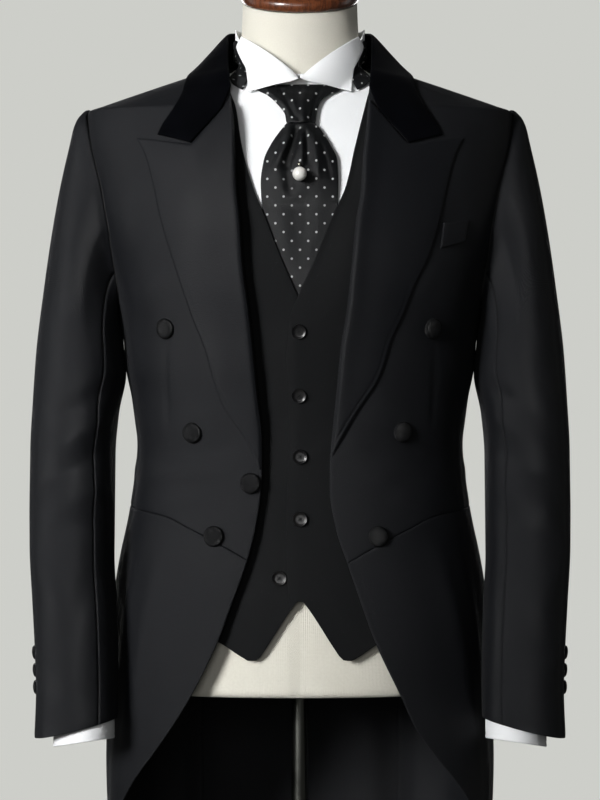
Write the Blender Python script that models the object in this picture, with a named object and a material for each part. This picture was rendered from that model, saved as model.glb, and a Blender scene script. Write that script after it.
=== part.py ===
"""A formal mourning suit on a limbless dress form: tail coat, waistcoat, wing-collar shirt and ascot.

Units are metres with +Z up. The suit faces -Y, the wearer's left is at +X and the base stands on z = 0.
Tables hold real sizes in millimetres. Every layer of cloth is a wall built on smooth body sections.
"""

import math
from functools import lru_cache

import bmesh
import bpy
from mathutils import Matrix, Vector

MM = 0.001
SEAM = 0.3
CLOTH = 1.8
SHIRT_CLOTH = 1.0
SHIRT_LIFT = 0.4
SHIRT_TOP = 1465.0
SHIRT_UNDERARM = 1215.0
SHIRT_SHOULDER = 1395.0
SHIRT_ARMHOLE_DEG = 34.0
WAISTCOAT_CLOTH = 1.6
WAISTCOAT_LIFT = 4.4
OVERLAP_LIFT = 2.2
COLUMN_SPREAD = 1.15
LAPEL_CLOTH = 2.0
LAPEL_LIFT = 0.8
LAPEL_ROLL = 2.5
COLLAR_CLOTH = 2.2
COLLAR_LIFT = 1.1
SLEEVE_CLOTH = 1.6
ARMHOLE_LIFT = 1.15
RIDGE_GAP_DEG = 0.12
SEAM_DEG = 0.06
FORM_INSET = 3.5
FORM_SIDE_INSET = 5.0
FORM_SIDES = 24
FORM_FOOT_SCALE = 0.985
FORM_NECK_START = 1478.0
FORM_WIDE_FROM = 1170.0

BASE_RADIUS = 170.0
BASE_HEIGHT = 14.0
POLE_RADIUS = 8.7
FORM_BOTTOM = 841.0
NECK_TOP = 1541.0
NECK_TILT = math.tan(math.radians(18.0))
NECK_TILT_START = 1492.0
NECK_TILT_END = 1536.0

COVERED_BUTTON_RADIUS = 10.5
CUFF_BUTTON_RADIUS = 7.2
CUFF_BUTTON_SIDE = 0.3
CUFF_CLOTH = 1.3
CUFF_TOP = 26.0
CUFF_MIDDLE = 8.0
CUFF_FOOT = -9.0
CUFF_EASE = 1.2
CUFF_TAPER = 0.02
CUFF_LEAN = 0.2
CUFF_INSET_OUTSIDE = 19.0
CUFF_INSET_FRONT = 6.0
WAISTCOAT_BUTTON_RADIUS = 7.4
LOW_BUTTON_LIFT = 0.5

# Sections: height, half width, front depth, back depth, roundness
FORM_SECTIONS = (
    (830, 164, 104, 112, 2.25),
    (900, 167, 107, 116, 2.25),
    (960, 163, 105, 112, 2.25),
    (1020, 153, 101, 101, 2.2),
    (1085, 147, 99, 92, 2.2),
    (1140, 152, 104, 95, 2.2),
    (1200, 160, 112, 103, 2.2),
    (1260, 168, 117, 110, 2.2),
    (1310, 178, 114, 112, 2.25),
    (1360, 189, 104, 107, 2.3),
    (1400, 195, 90, 98, 2.3),
    (1422, 192, 78, 86, 2.3),
    (1434, 172, 71, 78, 2.25),
    (1445, 142, 66, 73, 2.2),
    (1452, 119, 63, 70, 2.15),
    (1458, 100, 61, 67, 2.1),
    (1463, 84, 59, 65, 2.05),
    (1468, 72, 58, 63, 2.0),
    (1475, 63, 57, 62, 2.0),
    (1500, 60, 56, 60, 2.0),
    (1545, 58, 54, 58, 2.0),
)

COAT_SECTIONS = (
    (470, 176, 104, 136, 2.2),
    (620, 190, 118, 139, 2.2),
    (766, 197, 128, 140, 2.2),
    (850, 193, 128, 138, 2.2),
    (932, 188, 125, 134, 2.2),
    (983, 181, 122, 127, 2.2),
    (1034, 172, 118, 116, 2.2),
    (1085, 166, 117, 108, 2.2),
    (1136, 171, 122, 110, 2.2),
    (1167, 177, 127, 114, 2.2),
    (1200, 180, 131, 118, 2.2),
    (1250, 189, 136, 125, 2.2),
    (1300, 202, 135, 129, 2.25),
    (1350, 211, 126, 126, 2.3),
    (1400, 217, 109, 116, 2.3),
    (1428, 216, 92, 103, 2.3),
    (1434, 201, 87, 98, 2.25),
    (1440, 184, 83, 94, 2.25),
    (1454, 143, 77, 86, 2.2),
    (1461, 122, 75, 82, 2.15),
    (1467, 104, 73, 79, 2.1),
    (1472, 91, 72, 76, 2.05),
    (1477, 81, 71, 74, 2.0),
)

# Front edge of the coat: height, wearer's right x, wearer's left x
FRONT_EDGE = (
    (780, -150.0, 137.5),
    (812, -127.7, 115.0),
    (844, -108.0, 100.0),
    (895, -82.5, 75.6),
    (932, -68.7, 61.9),
    (975, -53.0, 47.0),
    (1008, -44.2, 36.0),
    (1048, -38.3, 29.5),
    (1067, -37.3, 29.5),
    (1097, -37.3, 31.4),
    (1136, -41.2, 35.4),
    (1185, -46.0, 40.0),
    (1223, -50.0, 46.0),
    (1270, -56.0, 51.0),
    (1311, -58.5, 55.0),
    (1342, -62.0, 59.9),
    (1375, -63.8, 62.0),
    (1410, -65.0, 66.0),
    (1436, -68.7, 67.8),
    (1456, -71.0, 71.0),
    (1477, -77.0, 77.0),
)

# Front edge of the tails below the cutaway: height, angle from the front in degrees
TAIL_EDGE = (
    (470, 128.0),
    (560, 113.0),
    (640, 94.0),
    (700, 76.0),
    (740, 63.0),
    (780, 49.0),
)

# Below this height both tails follow the table alone
TAIL_JOIN = 560.0

# Armhole: height, front angle, back angle
ARMHOLE = (
    (1234, 80.0, 116.0),
    (1244, 77.0, 121.0),
    (1260, 75.5, 123.0),
    (1280, 73.0, 123.0),
    (1310, 69.5, 120.0),
    (1340, 69.5, 116.0),
    (1370, 72.0, 111.0),
    (1400, 77.0, 104.0),
    (1420, 83.5, 97.0),
    (1430, 90.0, 90.0),
)
UNDERARM = 1234.0
COAT_SHOULDER = 1430.0
COAT_TOP = 1477.0
SHOULDER_FLOOR = 1380.0

# Waist seam: angle, height
WAIST_SEAM = ((12, 974), (22.6, 991.6), (34.5, 1007), (50, 1021), (90, 1030), (150, 1040))

SIDE_FRONT_SEAM = 80.0
# Side back seam: height, angle
SIDE_BACK_SEAM = ((470, 150.0), (1040, 150.0), (1150, 137.0), (1234, 116.0))

# Lapels: height and x of the outer edge on each side of the wearer, from the foot to the peak
LAPEL_OUTER = {
    "left": (
        (1082, 32.0),
        (1121, 54.0),
        (1161, 79.0),
        (1197, 90.3),
        (1222, 102.0),
        (1244, 110.0),
        (1277, 125.7),
        (1317, 137.5),
        (1352, 145.3),
        (1379, 153.0),
        (1396, 162.0),
    ),
    "right": (
        (1068, -40.0),
        (1097, -54.0),
        (1136, -78.5),
        (1185, -93.0),
        (1224, -108.0),
        (1277, -125.7),
        (1317, -137.5),
        (1352, -145.3),
        (1379, -153.0),
        (1396, -162.0),
    ),
}
# Breast welt: x and height of each end
WELT_TOP = ((141.4, 1310.8), (167.0, 1314.7))
WELT_BOTTOM = ((138.5, 1286.0), (164.0, 1293.0))
WELT_CLOTH = 1.6
GORGE_X = 107.0
GORGE_Z = 1388.0
GORGE_NECK_X = 68.0
PEAK_X = 162.0
GORGE_SHARE = (GORGE_X - GORGE_NECK_X) / (PEAK_X - GORGE_NECK_X)
LAPEL_ROLL_REACH = 12.0
LAPEL_TOP = 1432.0

# Velvet collar round the neck: fold x, y and height, then edge x and y on the coat
COLLAR_ROUND = (
    (69.4, -75.0, 1435.5, 117.0, -66.0),
    (70.5, -62.0, 1456.0, 114.5, -48.0),
    (72.0, -40.0, 1478.0, 112.5, -25.0),
    (72.8, -12.0, 1498.0, 111.0, 0.0),
    (73.0, 15.0, 1509.0, 107.0, 27.0),
    (66.0, 44.0, 1514.0, 95.0, 52.0),
    (45.0, 65.0, 1516.0, 75.0, 71.0),
    (24.0, 73.0, 1516.5, 42.0, 85.0),
    (0.0, 76.0, 1517.0, 0.0, 91.0),
)
# Velvet collar on the chest: fold x and height, edge x and height
COLLAR_FRONT = (
    (107.6, 1389.6, 140.5, 1398.5),
    (98.0, 1400.5, 135.5, 1409.0),
    (88.0, 1411.7, 129.0, 1419.0),
    (78.0, 1423.5, 122.5, 1429.5),
)

# Sleeve stations: outer height, outer x, inner height, inner x, centre y, half depth
SLEEVE_STATIONS = (
    (1238, 262, 1194, 182, -1, 72),
    (1187, 268, 1162, 179, -5, 69),
    (1136, 271, 1122, 184, -12, 66),
    (1086, 273, 1080, 187, -20, 62),
    (1036, 273, 1032, 187, -29, 60),
    (984, 272, 982, 187, -38, 58),
    (935, 268.5, 934, 184, -50, 55),
    (886, 265, 888, 182, -62, 52),
    (842, 263, 846, 181, -72, 49),
    (801, 264, 821, 181, -80, 47),
)
SLEEVE_SIDES = 20
SLEEVE_ROUNDNESS = 0.94
CAP_RINGS = 5
FRONT_SLEEVE_SEAM = 7
BACK_SLEEVE_SEAM = 14

# Waistcoat neckline and overlap: height, wearer's right edge, wearer's left edge
WAISTCOAT_EDGE = (
    (876, 9.0, -3.0),
    (987, 9.0, -13.0),
    (1116, 9.0, -10.0),
    (1184, 9.0, -13.0),
    (1206, 8.0, -11.0),
    (1222, 4.5, -8.0),
    (1237, -2.0, -2.0),
    (1275, -18.5, 15.7),
    (1312, -33.0, 30.4),
    (1346, -47.0, 45.5),
    (1387, -58.0, 55.0),
    (1426, -64.5, 65.0),
    (1438, -68.7, 68.0),
    (1464, -76.0, 76.0),
)
# Waistcoat hem: distance from the middle, height
WAISTCOAT_HEM = (
    (0, 941),
    (3, 937.5),
    (8, 931),
    (36, 887.5),
    (40, 882),
    (44, 880),
    (50, 880),
    (56, 883),
    (76, 896),
    (115, 914),
    (170, 928),
)
# Waistcoat armhole: height, front angle
WAISTCOAT_ARMHOLE = (
    (870, 90.0),
    (1205, 90.0),
    (1235, 82.0),
    (1280, 68.0),
    (1330, 57.0),
    (1390, 50.0),
    (1425, 60.0),
    (1441, 90.0),
    (1464, 90.0),
)

PEARL_HEIGHT = 1356.0
PEARL_RADIUS = 7.1

# Ascot outline: height, left x, right x, bulge in front of the shirt
ASCOT_BLADE = (
    (1234, -5.0, 5.0, 0.0),
    (1270, -24.0, 22.0, 0.2),
    (1300, -35.0, 34.0, 0.2),
    (1322, -36.5, 36.5, 0.1),
    (1350, -38.0, 37.0, 8.0),
    (1372, -35.0, 36.0, 11.0),
    (1388, -28.0, 29.0, 12.0),
    (1400, -20.0, 22.0, 12.0),
    (1409, -13.0, 15.0, 11.0),
)
ASCOT_KNOT = (
    (1409, -12.8, 14.8, 11.0),
    (1417, -14.0, 15.5, 11.5),
    (1430, -23.0, 19.0, 11.0),
    (1438, -31.0, 27.0, 7.0),
    (1444, -42.0, 40.0, 3.0),
    (1449, -49.0, 46.0, 2.0),
)

NECK_RING = (66.0, 70.0, 66.0)
STAND_CLOTH = 1.4
STAND_LOW_BACK = 1481.0
STAND_LOW_DROP = 24.0
STAND_HIGH_BACK = 1513.0
STAND_HIGH_DROP = 52.0
WING_EASE = 0.6
WING_SPREAD = 6.5
WING_FORWARD = 9.0
WING_OVER_KNOT = 7.0
WING_BOW = 1.5
# Wing: x and height at the middle of the neck, x and height at the side
WING_FOLD = (2.5, 1459.0, 57.0, 1501.0)
WING_EDGE = (2.5, 1455.5, 51.0, 1444.0)
BAND_CLOTH = 1.8
BAND_TOP = 1500.0
BAND_DROP = 15.0
BAND_DROP_START = 0.3
BAND_SEAT = 3.9
BAND_EASE = 0.2
BAND_START = 43.0
BAND_SPAN = 274.0
BLADE_CLOTH = 1.4
KNOT_CLOTH = 2.4

# Colours: red, green, blue, roughness, metallic
COAT_FINISH = (0.012, 0.013, 0.015, 0.85, 0.0)
VELVET_FINISH = (0.003, 0.003, 0.005, 0.95, 0.0)
WAISTCOAT_FINISH = (0.008, 0.009, 0.010, 0.85, 0.0)
SHIRT_FINISH = (0.82, 0.83, 0.84, 0.7, 0.0)
ASCOT_FINISH = (0.045, 0.048, 0.05, 0.5, 0.0)
BUTTON_FINISH = (0.01, 0.01, 0.012, 0.3, 0.0)
FORM_FINISH = (0.76, 0.73, 0.65, 0.6, 0.0)
WOOD_FINISH = (0.18, 0.07, 0.025, 0.4, 0.0)
CHROME_FINISH = (0.55, 0.55, 0.55, 0.2, 1.0)
PEARL_FINISH = (0.7, 0.7, 0.68, 0.2, 0.0)


def clear_scene():
    """Removes whatever the opening scene holds."""
    for item in list(bpy.data.objects):
        bpy.data.objects.remove(item, do_unlink=True)


@lru_cache(maxsize=None)
def slopes(keys, values):
    """Monotone slopes at each key, so that a curve through a table never overshoots it."""
    steps = [(values[i + 1] - values[i]) / (keys[i + 1] - keys[i]) for i in range(len(keys) - 1)]
    found = [steps[0]]
    for before, after in zip(steps, steps[1:]):
        same_way = before * after > 0
        found.append(2 * before * after / (before + after) if same_way else 0.0)
    found.append(steps[-1])
    return tuple(found)


@lru_cache(maxsize=None)
def column(table, index):
    """One column of a table."""
    return tuple(float(row[index]) for row in table)


@lru_cache(maxsize=None)
def read(table, at, index):
    """The value of a table's column, read on a smooth curve through its rows."""
    keys = column(table, 0)
    values = column(table, index)
    tangents = slopes(keys, values)
    at = min(max(at, keys[0]), keys[-1])
    i = max(k for k in range(len(keys) - 1) if keys[k] <= at)
    span = keys[i + 1] - keys[i]
    t = (at - keys[i]) / span
    start = (1 + 2 * t) * (1 - t) ** 2 * values[i] + t * (1 - t) ** 2 * span * tangents[i]
    end = t * t * (3 - 2 * t) * values[i + 1] - t * t * (1 - t) * span * tangents[i + 1]
    return start + end


def mix(a, b, t):
    """Part of the way from a to b."""
    return a + (b - a) * t


def ease(t):
    """A smooth step from 0 to 1."""
    t = min(max(t, 0.0), 1.0)
    return t * t * (3 - 2 * t)


def section(table, z):
    """Half width, front depth, back depth and roundness at a height."""
    return tuple(read(table, z, i) for i in (1, 2, 3, 4))


def signed_power(value, power):
    """A power that keeps its sign."""
    return math.copysign(abs(value) ** power, value)


def body_point(table, z, angle):
    """A point on a layer at an angle from the front, in degrees towards the wearer's left."""
    half, front, back, power = section(table, z)
    turn = math.radians(angle)
    depth = front if math.cos(turn) >= 0 else back
    x = half * signed_power(math.sin(turn), 2 / power)
    y = -depth * signed_power(math.cos(turn), 2 / power)
    return Vector((x, y, z))


def body_normal(table, z, angle):
    """The outward direction of a layer at a height and an angle."""
    half, front, back, power = section(table, z)
    is_front = math.cos(math.radians(angle)) >= 0
    depth = front if is_front else back
    p = body_point(table, z, angle)
    low, high = section(table, z - 1), section(table, z + 1)
    half_slope = (high[0] - low[0]) / 2
    depth_slope = (high[1] - low[1]) / 2 if is_front else (high[2] - low[2]) / 2
    across = abs(p.x / half) ** power
    along = abs(p.y / depth) ** power
    n = Vector(
        (
            math.copysign(abs(p.x / half) ** (power - 1) / half, p.x),
            math.copysign(abs(p.y / depth) ** (power - 1) / depth, p.y),
            -across * half_slope / half - along * depth_slope / depth,
        )
    )
    return n.normalized()


def front_angle(table, x, z):
    """The angle at which a layer's front has this x, up to the side."""
    half, _, _, power = section(table, z)
    share = min(abs(x) / half, 1.0)
    return math.copysign(math.degrees(math.asin(share ** (power / 2))), x)


def lifted(table, z, angle, lift):
    """A point moved out from a layer along its normal."""
    return body_point(table, z, angle) + body_normal(table, z, angle) * lift


def front_lifted(table, x, z, lift):
    """A point of a layer's front seen at x and z, moved out from it."""
    return lifted(table, z, front_angle(table, x, z), lift)


def finish(name, values):
    """A plain material with a colour, roughness and metallic value."""
    material = bpy.data.materials.new(name)
    material.use_nodes = True
    shader = material.node_tree.nodes["Principled BSDF"]
    shader.inputs["Base Color"].default_value = (*values[:3], 1.0)
    shader.inputs["Roughness"].default_value = values[3]
    shader.inputs["Metallic"].default_value = values[4]
    return material


def add_object(name, bm, values):
    """Turns a bmesh in millimetres into a named object with its material."""
    bmesh.ops.scale(bm, vec=(MM, MM, MM), verts=bm.verts)
    bmesh.ops.recalc_face_normals(bm, faces=bm.faces)
    mesh = bpy.data.meshes.new(name)
    bm.to_mesh(mesh)
    bm.free()
    item = bpy.data.objects.new(name, mesh)
    bpy.context.scene.collection.objects.link(item)
    item.data.materials.append(finish(name + "_finish", values))
    mesh.shade_smooth()
    mesh.set_sharp_from_angle(angle=math.radians(50))
    return item


def wall(name, outer, inner, values, closed=False):
    """A wall between two grids of points, closed along all its free edges."""
    rows, columns = len(outer), len(outer[0])
    bm = bmesh.new()
    far = [[bm.verts.new(p) for p in row] for row in outer]
    near = [[bm.verts.new(p) for p in row] for row in inner]
    last = columns if closed else columns - 1
    for i in range(rows - 1):
        for j in range(last):
            k = (j + 1) % columns
            bm.faces.new((far[i][j], far[i][k], far[i + 1][k], far[i + 1][j]))
            bm.faces.new((near[i][j], near[i + 1][j], near[i + 1][k], near[i][k]))
    for j in range(last):
        k = (j + 1) % columns
        for i in (0, rows - 1):
            bm.faces.new((far[i][j], near[i][j], near[i][k], far[i][k]))
    if not closed:
        for i in range(rows - 1):
            for j in (0, columns - 1):
                bm.faces.new((far[i][j], far[i + 1][j], near[i + 1][j], near[i][j]))
    return add_object(name, bm, values)


def layer_wall(name, table, spots, low, high, values):
    """A wall on a layer: spots is a grid of (height, angle); low and high are lifts or functions of a spot."""

    def grid(lift):
        return [[lifted(table, z, a, lift(z, a) if callable(lift) else lift) for z, a in row] for row in spots]

    return wall(name, grid(high), grid(low), values)


def ring_solid(name, rings, values):
    """A closed solid through rings of points, capped at both ends."""
    bm = bmesh.new()
    made = [[bm.verts.new(p) for p in ring] for ring in rings]
    count = len(made[0])
    for low, high in zip(made, made[1:]):
        for j in range(count):
            k = (j + 1) % count
            bm.faces.new((low[j], low[k], high[k], high[j]))
    bm.faces.new(made[0])
    bm.faces.new(made[-1])
    return add_object(name, bm, values)


def turned(name, profile, sides, values, place=Matrix.Identity(4)):
    """A solid turned about its own Z from a profile of (radius, height), then placed."""
    rings = []
    for radius, height in profile:
        angles = (2 * math.pi * j / sides for j in range(sides))
        rings.append([place @ Vector((radius * math.cos(a), radius * math.sin(a), height)) for a in angles])
    return ring_solid(name, rings, values)


def stand_up(point, direction):
    """A placement at a point with Z along a direction."""
    return Matrix.Translation(point) @ direction.to_track_quat("Z", "Y").to_matrix().to_4x4()


def build_form():
    """The torso with its neck, the turned cap, the pole and the base."""
    heights = (FORM_BOTTOM, FORM_BOTTOM + 2, 890, 945, 1010, 1085, 1150, 1220, 1275, 1320, 1360, 1395, 1418)
    heights += (1430, 1440, 1450, 1458, 1465, 1475, 1495, 1518, NECK_TOP)
    rings = []
    for z in heights:
        ring = []
        for j in range(FORM_SIDES):
            angle = 360 * j / FORM_SIDES
            sideways = abs(math.sin(math.radians(angle))) * ease((z - FORM_WIDE_FROM) / 60)
            inset = FORM_INSET + FORM_SIDE_INSET * sideways
            p = lifted(FORM_SECTIONS, z, angle, -inset * (z < FORM_NECK_START))
            p.z = z
            if z == heights[0]:
                p.x *= FORM_FOOT_SCALE
                p.y *= FORM_FOOT_SCALE
            p.z += p.y * NECK_TILT * ease((z - NECK_TILT_START) / (NECK_TILT_END - NECK_TILT_START))
            ring.append(p)
        rings.append(ring)
    ring_solid("form_torso", rings, FORM_FINISH)
    top = Vector((0, 0, NECK_TOP + SEAM))
    up = Vector((0, -NECK_TILT, 1)).normalized()
    profile = ((55, 0), (59, 3), (60, 8), (58, 13), (50, 16), (44, 22), (30, 28), (16, 31), (6, 32))
    turned("neck_cap", profile, 22, WOOD_FINISH, stand_up(top, up))
    pole = ((POLE_RADIUS, BASE_HEIGHT + SEAM), (POLE_RADIUS, FORM_BOTTOM - SEAM))
    turned("stand_pole", pole, 16, CHROME_FINISH)
    base = ((BASE_RADIUS - 2, 0), (BASE_RADIUS, 2), (BASE_RADIUS, 10), (BASE_RADIUS - 5, BASE_HEIGHT))
    turned("stand_base", base, 40, CHROME_FINISH)


def spots_between(heights, left, right, columns):
    """A grid of (height, angle) between two angle functions of height."""
    grid = []
    for z in heights:
        grid.append([(z, mix(left(z), right(z), j / columns)) for j in range(columns + 1)])
    return grid


def build_shirt():
    """Shirt front and back, collar stand, wings and cuffs."""
    heights = (985, 1065, 1140, 1210, 1260, 1305, 1350, 1385, 1412)

    def side(z):
        cut_in = ease((z - SHIRT_UNDERARM) / 90) * (1 - ease((z - SHIRT_SHOULDER) / 40))
        return 90 - SHIRT_ARMHOLE_DEG * cut_in - RIDGE_GAP_DEG

    low = SHIRT_LIFT
    high = SHIRT_LIFT + SHIRT_CLOTH
    front = spots_between(heights, lambda z: -side(z), side, 14)
    front += top_rows(heights[-1], side, 14, 0)
    layer_wall("shirt_front", FORM_SECTIONS, front, low, high, SHIRT_FINISH)
    back = spots_between(heights, lambda z: 180 - side(z), lambda z: 180 + side(z), 11)
    back += top_rows(heights[-1], side, 11, 180)
    layer_wall("shirt_back", FORM_SECTIONS, back, low, high, SHIRT_FINISH)
    build_collar_stand()
    build_wings()


def top_rows(start, side, columns, facing):
    """The shirt's last rows, which run up to the lower edge of the collar stand."""
    rows = []
    for share in (0.32, 0.58, 0.78, 0.91, 1):
        row = []
        for j in range(columns + 1):
            z = 1440.0
            for _ in range(6):
                angle = mix(-side(z), side(z), j / columns)
                z = mix(start, min(stand_low(facing + angle) - 0.4, SHIRT_TOP), share)
            row.append((z, facing + angle))
        rows.append(row)
    return rows


def neck_point(angle, z, lift):
    """A point on the upright ring of the shirt collar."""
    half, front, back = NECK_RING
    turn = math.radians(angle)
    depth = (front if math.cos(turn) > 0 else back) + lift
    return Vector(((half + lift) * math.sin(turn), -depth * math.cos(turn), z))


def stand_low(angle):
    """Height of the lower edge of the neck pieces."""
    return STAND_LOW_BACK - STAND_LOW_DROP * ease((math.cos(math.radians(angle)) - 0.35) / 0.6)


def stand_high(angle):
    """Height of the top edge of the collar stand, which drops to the front."""
    frontness = max(math.cos(math.radians(angle)), 0.0)
    return STAND_HIGH_BACK - STAND_HIGH_DROP * frontness**1.3


def build_collar_stand():
    """The upright shirt collar, all round the neck and open by a hair at the front."""
    outer, inner = [], []
    for v in range(3):
        row = [(0.5 + 359 * j / 30) for j in range(31)]
        heights = [mix(stand_low(a), stand_high(a), v / 2) for a in row]
        outer.append([neck_point(a, z, 0) for a, z in zip(row, heights)])
        inner.append([neck_point(a, z, -STAND_CLOTH) for a, z in zip(row, heights)])
    wall("collar_stand", outer, inner, SHIRT_FINISH)


def wing_point(side, u, v, lift):
    """A point of a wing: u runs back along its fold and v down to its edge."""
    fold_x, fold_z = mix(WING_FOLD[0], WING_FOLD[2], u), mix(WING_FOLD[1], WING_FOLD[3], u**0.9)
    edge_x, edge_z = mix(WING_EDGE[0], WING_EDGE[2], u), mix(WING_EDGE[1], WING_EDGE[3], u**0.7)
    edge_z += WING_BOW * math.sin(math.pi * u)
    x = mix(fold_x, edge_x, v)
    z = mix(fold_z, edge_z, v)
    stands_off = BAND_CLOTH + 2 * SEAM + WING_EASE + WING_SPREAD * v * u
    half, front, _ = NECK_RING
    reach = half + stands_off + lift
    forward = front + stands_off + lift + WING_FORWARD * v * (1 - u)
    y = -forward * math.sqrt(1 - min(x / (reach + 4), 0.98) ** 2)
    over_knot = front_lifted(FORM_SECTIONS, x, z, WING_OVER_KNOT + lift).y
    y = mix(y, min(y, over_knot), ease((1468 - z) / 14))
    return Vector((side * x, y, z))


def build_wings():
    """The two folded points of the collar."""
    for name, side in (("wing_right", -1), ("wing_left", 1)):
        grids = []
        for lift in (1.0, 0.0):
            grids.append([[wing_point(side, u / 6, v / 3, lift) for u in range(7)] for v in range(4)])
        wall(name, grids[0], grids[1], SHIRT_FINISH)


def band_point(angle, v, lift):
    """A point of the neck band: v runs up from its lower edge, which rests on the shirt in front."""
    toward_front = max(math.cos(math.radians(angle)), 0)
    low = stand_low(angle) - 4 * toward_front
    top = max(min(BAND_TOP, stand_high(angle) - 3), low + 12)
    drop = BAND_DROP * ease((toward_front - BAND_DROP_START) / (1 - BAND_DROP_START) * 2)
    z = mix(low - drop, top, v)
    p = neck_point(angle, z, SEAM + BAND_EASE + lift)
    half, front, _, power = section(FORM_SECTIONS, z)
    reach = math.hypot(p.x, p.y)
    edge = (abs(p.x / reach / half) ** power + abs(p.y / reach / front) ** power) ** (-1 / power)
    slope = body_normal(FORM_SECTIONS, z, front_angle(FORM_SECTIONS, p.x / reach * edge, z))
    clear = edge + (BAND_SEAT + lift) / max(math.hypot(slope.x, slope.y), 0.35)
    if clear > reach and p.y < 0:
        p.x *= clear / reach
        p.y *= clear / reach
    return p


def build_ascot():
    """Neck band, gathered upper part, blade and pearl pin."""
    row = [BAND_START + BAND_SPAN * j / 24 for j in range(25)]
    grids = []
    for lift in (BAND_CLOTH, 0.0):
        grids.append([[band_point(a, v / 3, lift) for a in row] for v in range(4)])
    wall("ascot_band", grids[0], grids[1], ASCOT_FINISH)
    ascot_panel("ascot_knot", ASCOT_KNOT, (1409.35, 1415, 1422, 1430, 1438, 1444, 1449), KNOT_CLOTH)
    blade_rows = (1234, 1258, 1280, 1300, 1320, 1340, 1358, 1374, 1388, 1400, 1409)
    ascot_panel("ascot_blade", ASCOT_BLADE, blade_rows, BLADE_CLOTH)
    seat = ascot_point(ASCOT_BLADE, PEARL_HEIGHT, 0.5, SHIRT_LIFT + SHIRT_CLOTH + SEAM + BLADE_CLOTH + SEAM)
    turns = [math.pi * t / 8 for t in range(1, 8)]
    profile = [(PEARL_RADIUS * math.sin(t), PEARL_RADIUS - PEARL_RADIUS * math.cos(t)) for t in turns]
    turned("pearl_pin", profile, 14, PEARL_FINISH, stand_up(seat, Vector((0, -1, 0.05))))


def ascot_point(table, z, u, lift):
    """A point of the ascot at share u of its width."""
    left, right, bulge = (read(table, z, i) for i in (1, 2, 3))
    x = mix(left, right, u)
    p = front_lifted(FORM_SECTIONS, x, z, lift)
    crown = 1 - (2 * u - 1) ** 2
    p.y -= bulge * (0.4 + 0.6 * crown)
    return p


def ascot_panel(name, table, heights, cloth):
    """A panel of the ascot between its left and right outlines."""
    base = SHIRT_LIFT + SHIRT_CLOTH + SEAM
    grids = []
    for lift in (base + cloth, base):
        grids.append([[ascot_point(table, z, u / 8, lift) for u in range(9)] for z in heights])
    wall(name, grids[0], grids[1], ASCOT_FINISH)


def waistcoat_spots(side):
    """Grid of one waistcoat front, from its front edge to the side seam."""
    levels = (960, 1010, 1060, 1110, 1160, 1200, 1218, 1237, 1270, 1305, 1340, 1375, 1405)
    levels += (1424, 1436, 1445, 1454, 1463)
    edge_column = 1 if side < 0 else 2

    def inner(z):
        return front_angle(FORM_SECTIONS, read(WAISTCOAT_EDGE, z, edge_column), z) * side

    def outer(z):
        return read(WAISTCOAT_ARMHOLE, z, 1) - RIDGE_GAP_DEG

    grid = []
    columns = 9
    hems = []
    for j in range(columns + 1):
        share = (j / columns) ** COLUMN_SPREAD
        z = 920.0
        for _ in range(6):
            angle = mix(inner(z), outer(z), share)
            x = abs(body_point(FORM_SECTIONS, z, angle).x)
            z = read(WAISTCOAT_HEM, x, 1)
        hems.append(z)
    for level in (None, *levels):
        row = []
        for j in range(columns + 1):
            share = (j / columns) ** COLUMN_SPREAD
            z = hems[j] if level is None else level
            row.append((z, side * mix(inner(z), outer(z), share)))
        grid.append(row)
    return grid


def build_waistcoat():
    """Two fronts, the wearer's left over the right, the back and five buttons."""

    def under(_, __):
        return WAISTCOAT_LIFT

    def over(z, angle):
        x = body_point(FORM_SECTIONS, z, angle).x
        return WAISTCOAT_LIFT + OVERLAP_LIFT * (1 - ease((x - 20) / 60)) * (1 - ease((z - 1260) / 60))

    def thick(lift):
        return lambda z, angle: lift(z, angle) + WAISTCOAT_CLOTH

    right = waistcoat_spots(-1)
    layer_wall("waistcoat_right_front", FORM_SECTIONS, right, under, thick(under), WAISTCOAT_FINISH)
    left = waistcoat_spots(1)
    layer_wall("waistcoat_left_front", FORM_SECTIONS, left, over, thick(over), WAISTCOAT_FINISH)
    heights = (928, 985, 1050, 1110, 1160, 1205, 1240, 1285, 1335, 1385, 1412, 1426, 1436, 1445, 1454, 1463)

    def back_side(z):
        return 180 - read(WAISTCOAT_ARMHOLE, z, 1) + RIDGE_GAP_DEG

    back = spots_between(heights, back_side, lambda z: 360 - back_side(z), 12)
    layer_wall("waistcoat_back", FORM_SECTIONS, back, under, thick(under), WAISTCOAT_FINISH)
    for number, (x, z, seat) in enumerate(
        ((-1, 1204, over), (-1, 1141, over), (0, 1080, over), (0, 1018, over), (-20, 960, under)), 1
    ):
        angle = front_angle(FORM_SECTIONS, x, z)
        lift = seat(z, angle) + WAISTCOAT_CLOTH + SEAM + LOW_BUTTON_LIFT * (z < 1100)
        place = stand_up(lifted(FORM_SECTIONS, z, angle, lift), body_normal(FORM_SECTIONS, z, angle))
        r = WAISTCOAT_BUTTON_RADIUS
        profile = ((r - 1.0, 0), (r, 1.2), (r - 0.7, 2.7), (r - 2.0, 1.9))
        turned(f"waistcoat_button_{number}", profile, 10, BUTTON_FINISH, place)


def coat_edge_angle(z, side):
    """Angle of the coat's front edge, its roll line, or the tails' swept edge."""
    foot = FRONT_EDGE[0][0]
    on_front = max(z, foot)
    angle = abs(front_angle(COAT_SECTIONS, read(FRONT_EDGE, on_front, 1 if side < 0 else 2), on_front))
    if z >= foot:
        return angle
    step = angle - read(TAIL_EDGE, foot, 1)
    return read(TAIL_EDGE, z, 1) + step * ease((z - TAIL_JOIN) / (foot - TAIL_JOIN))


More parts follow.
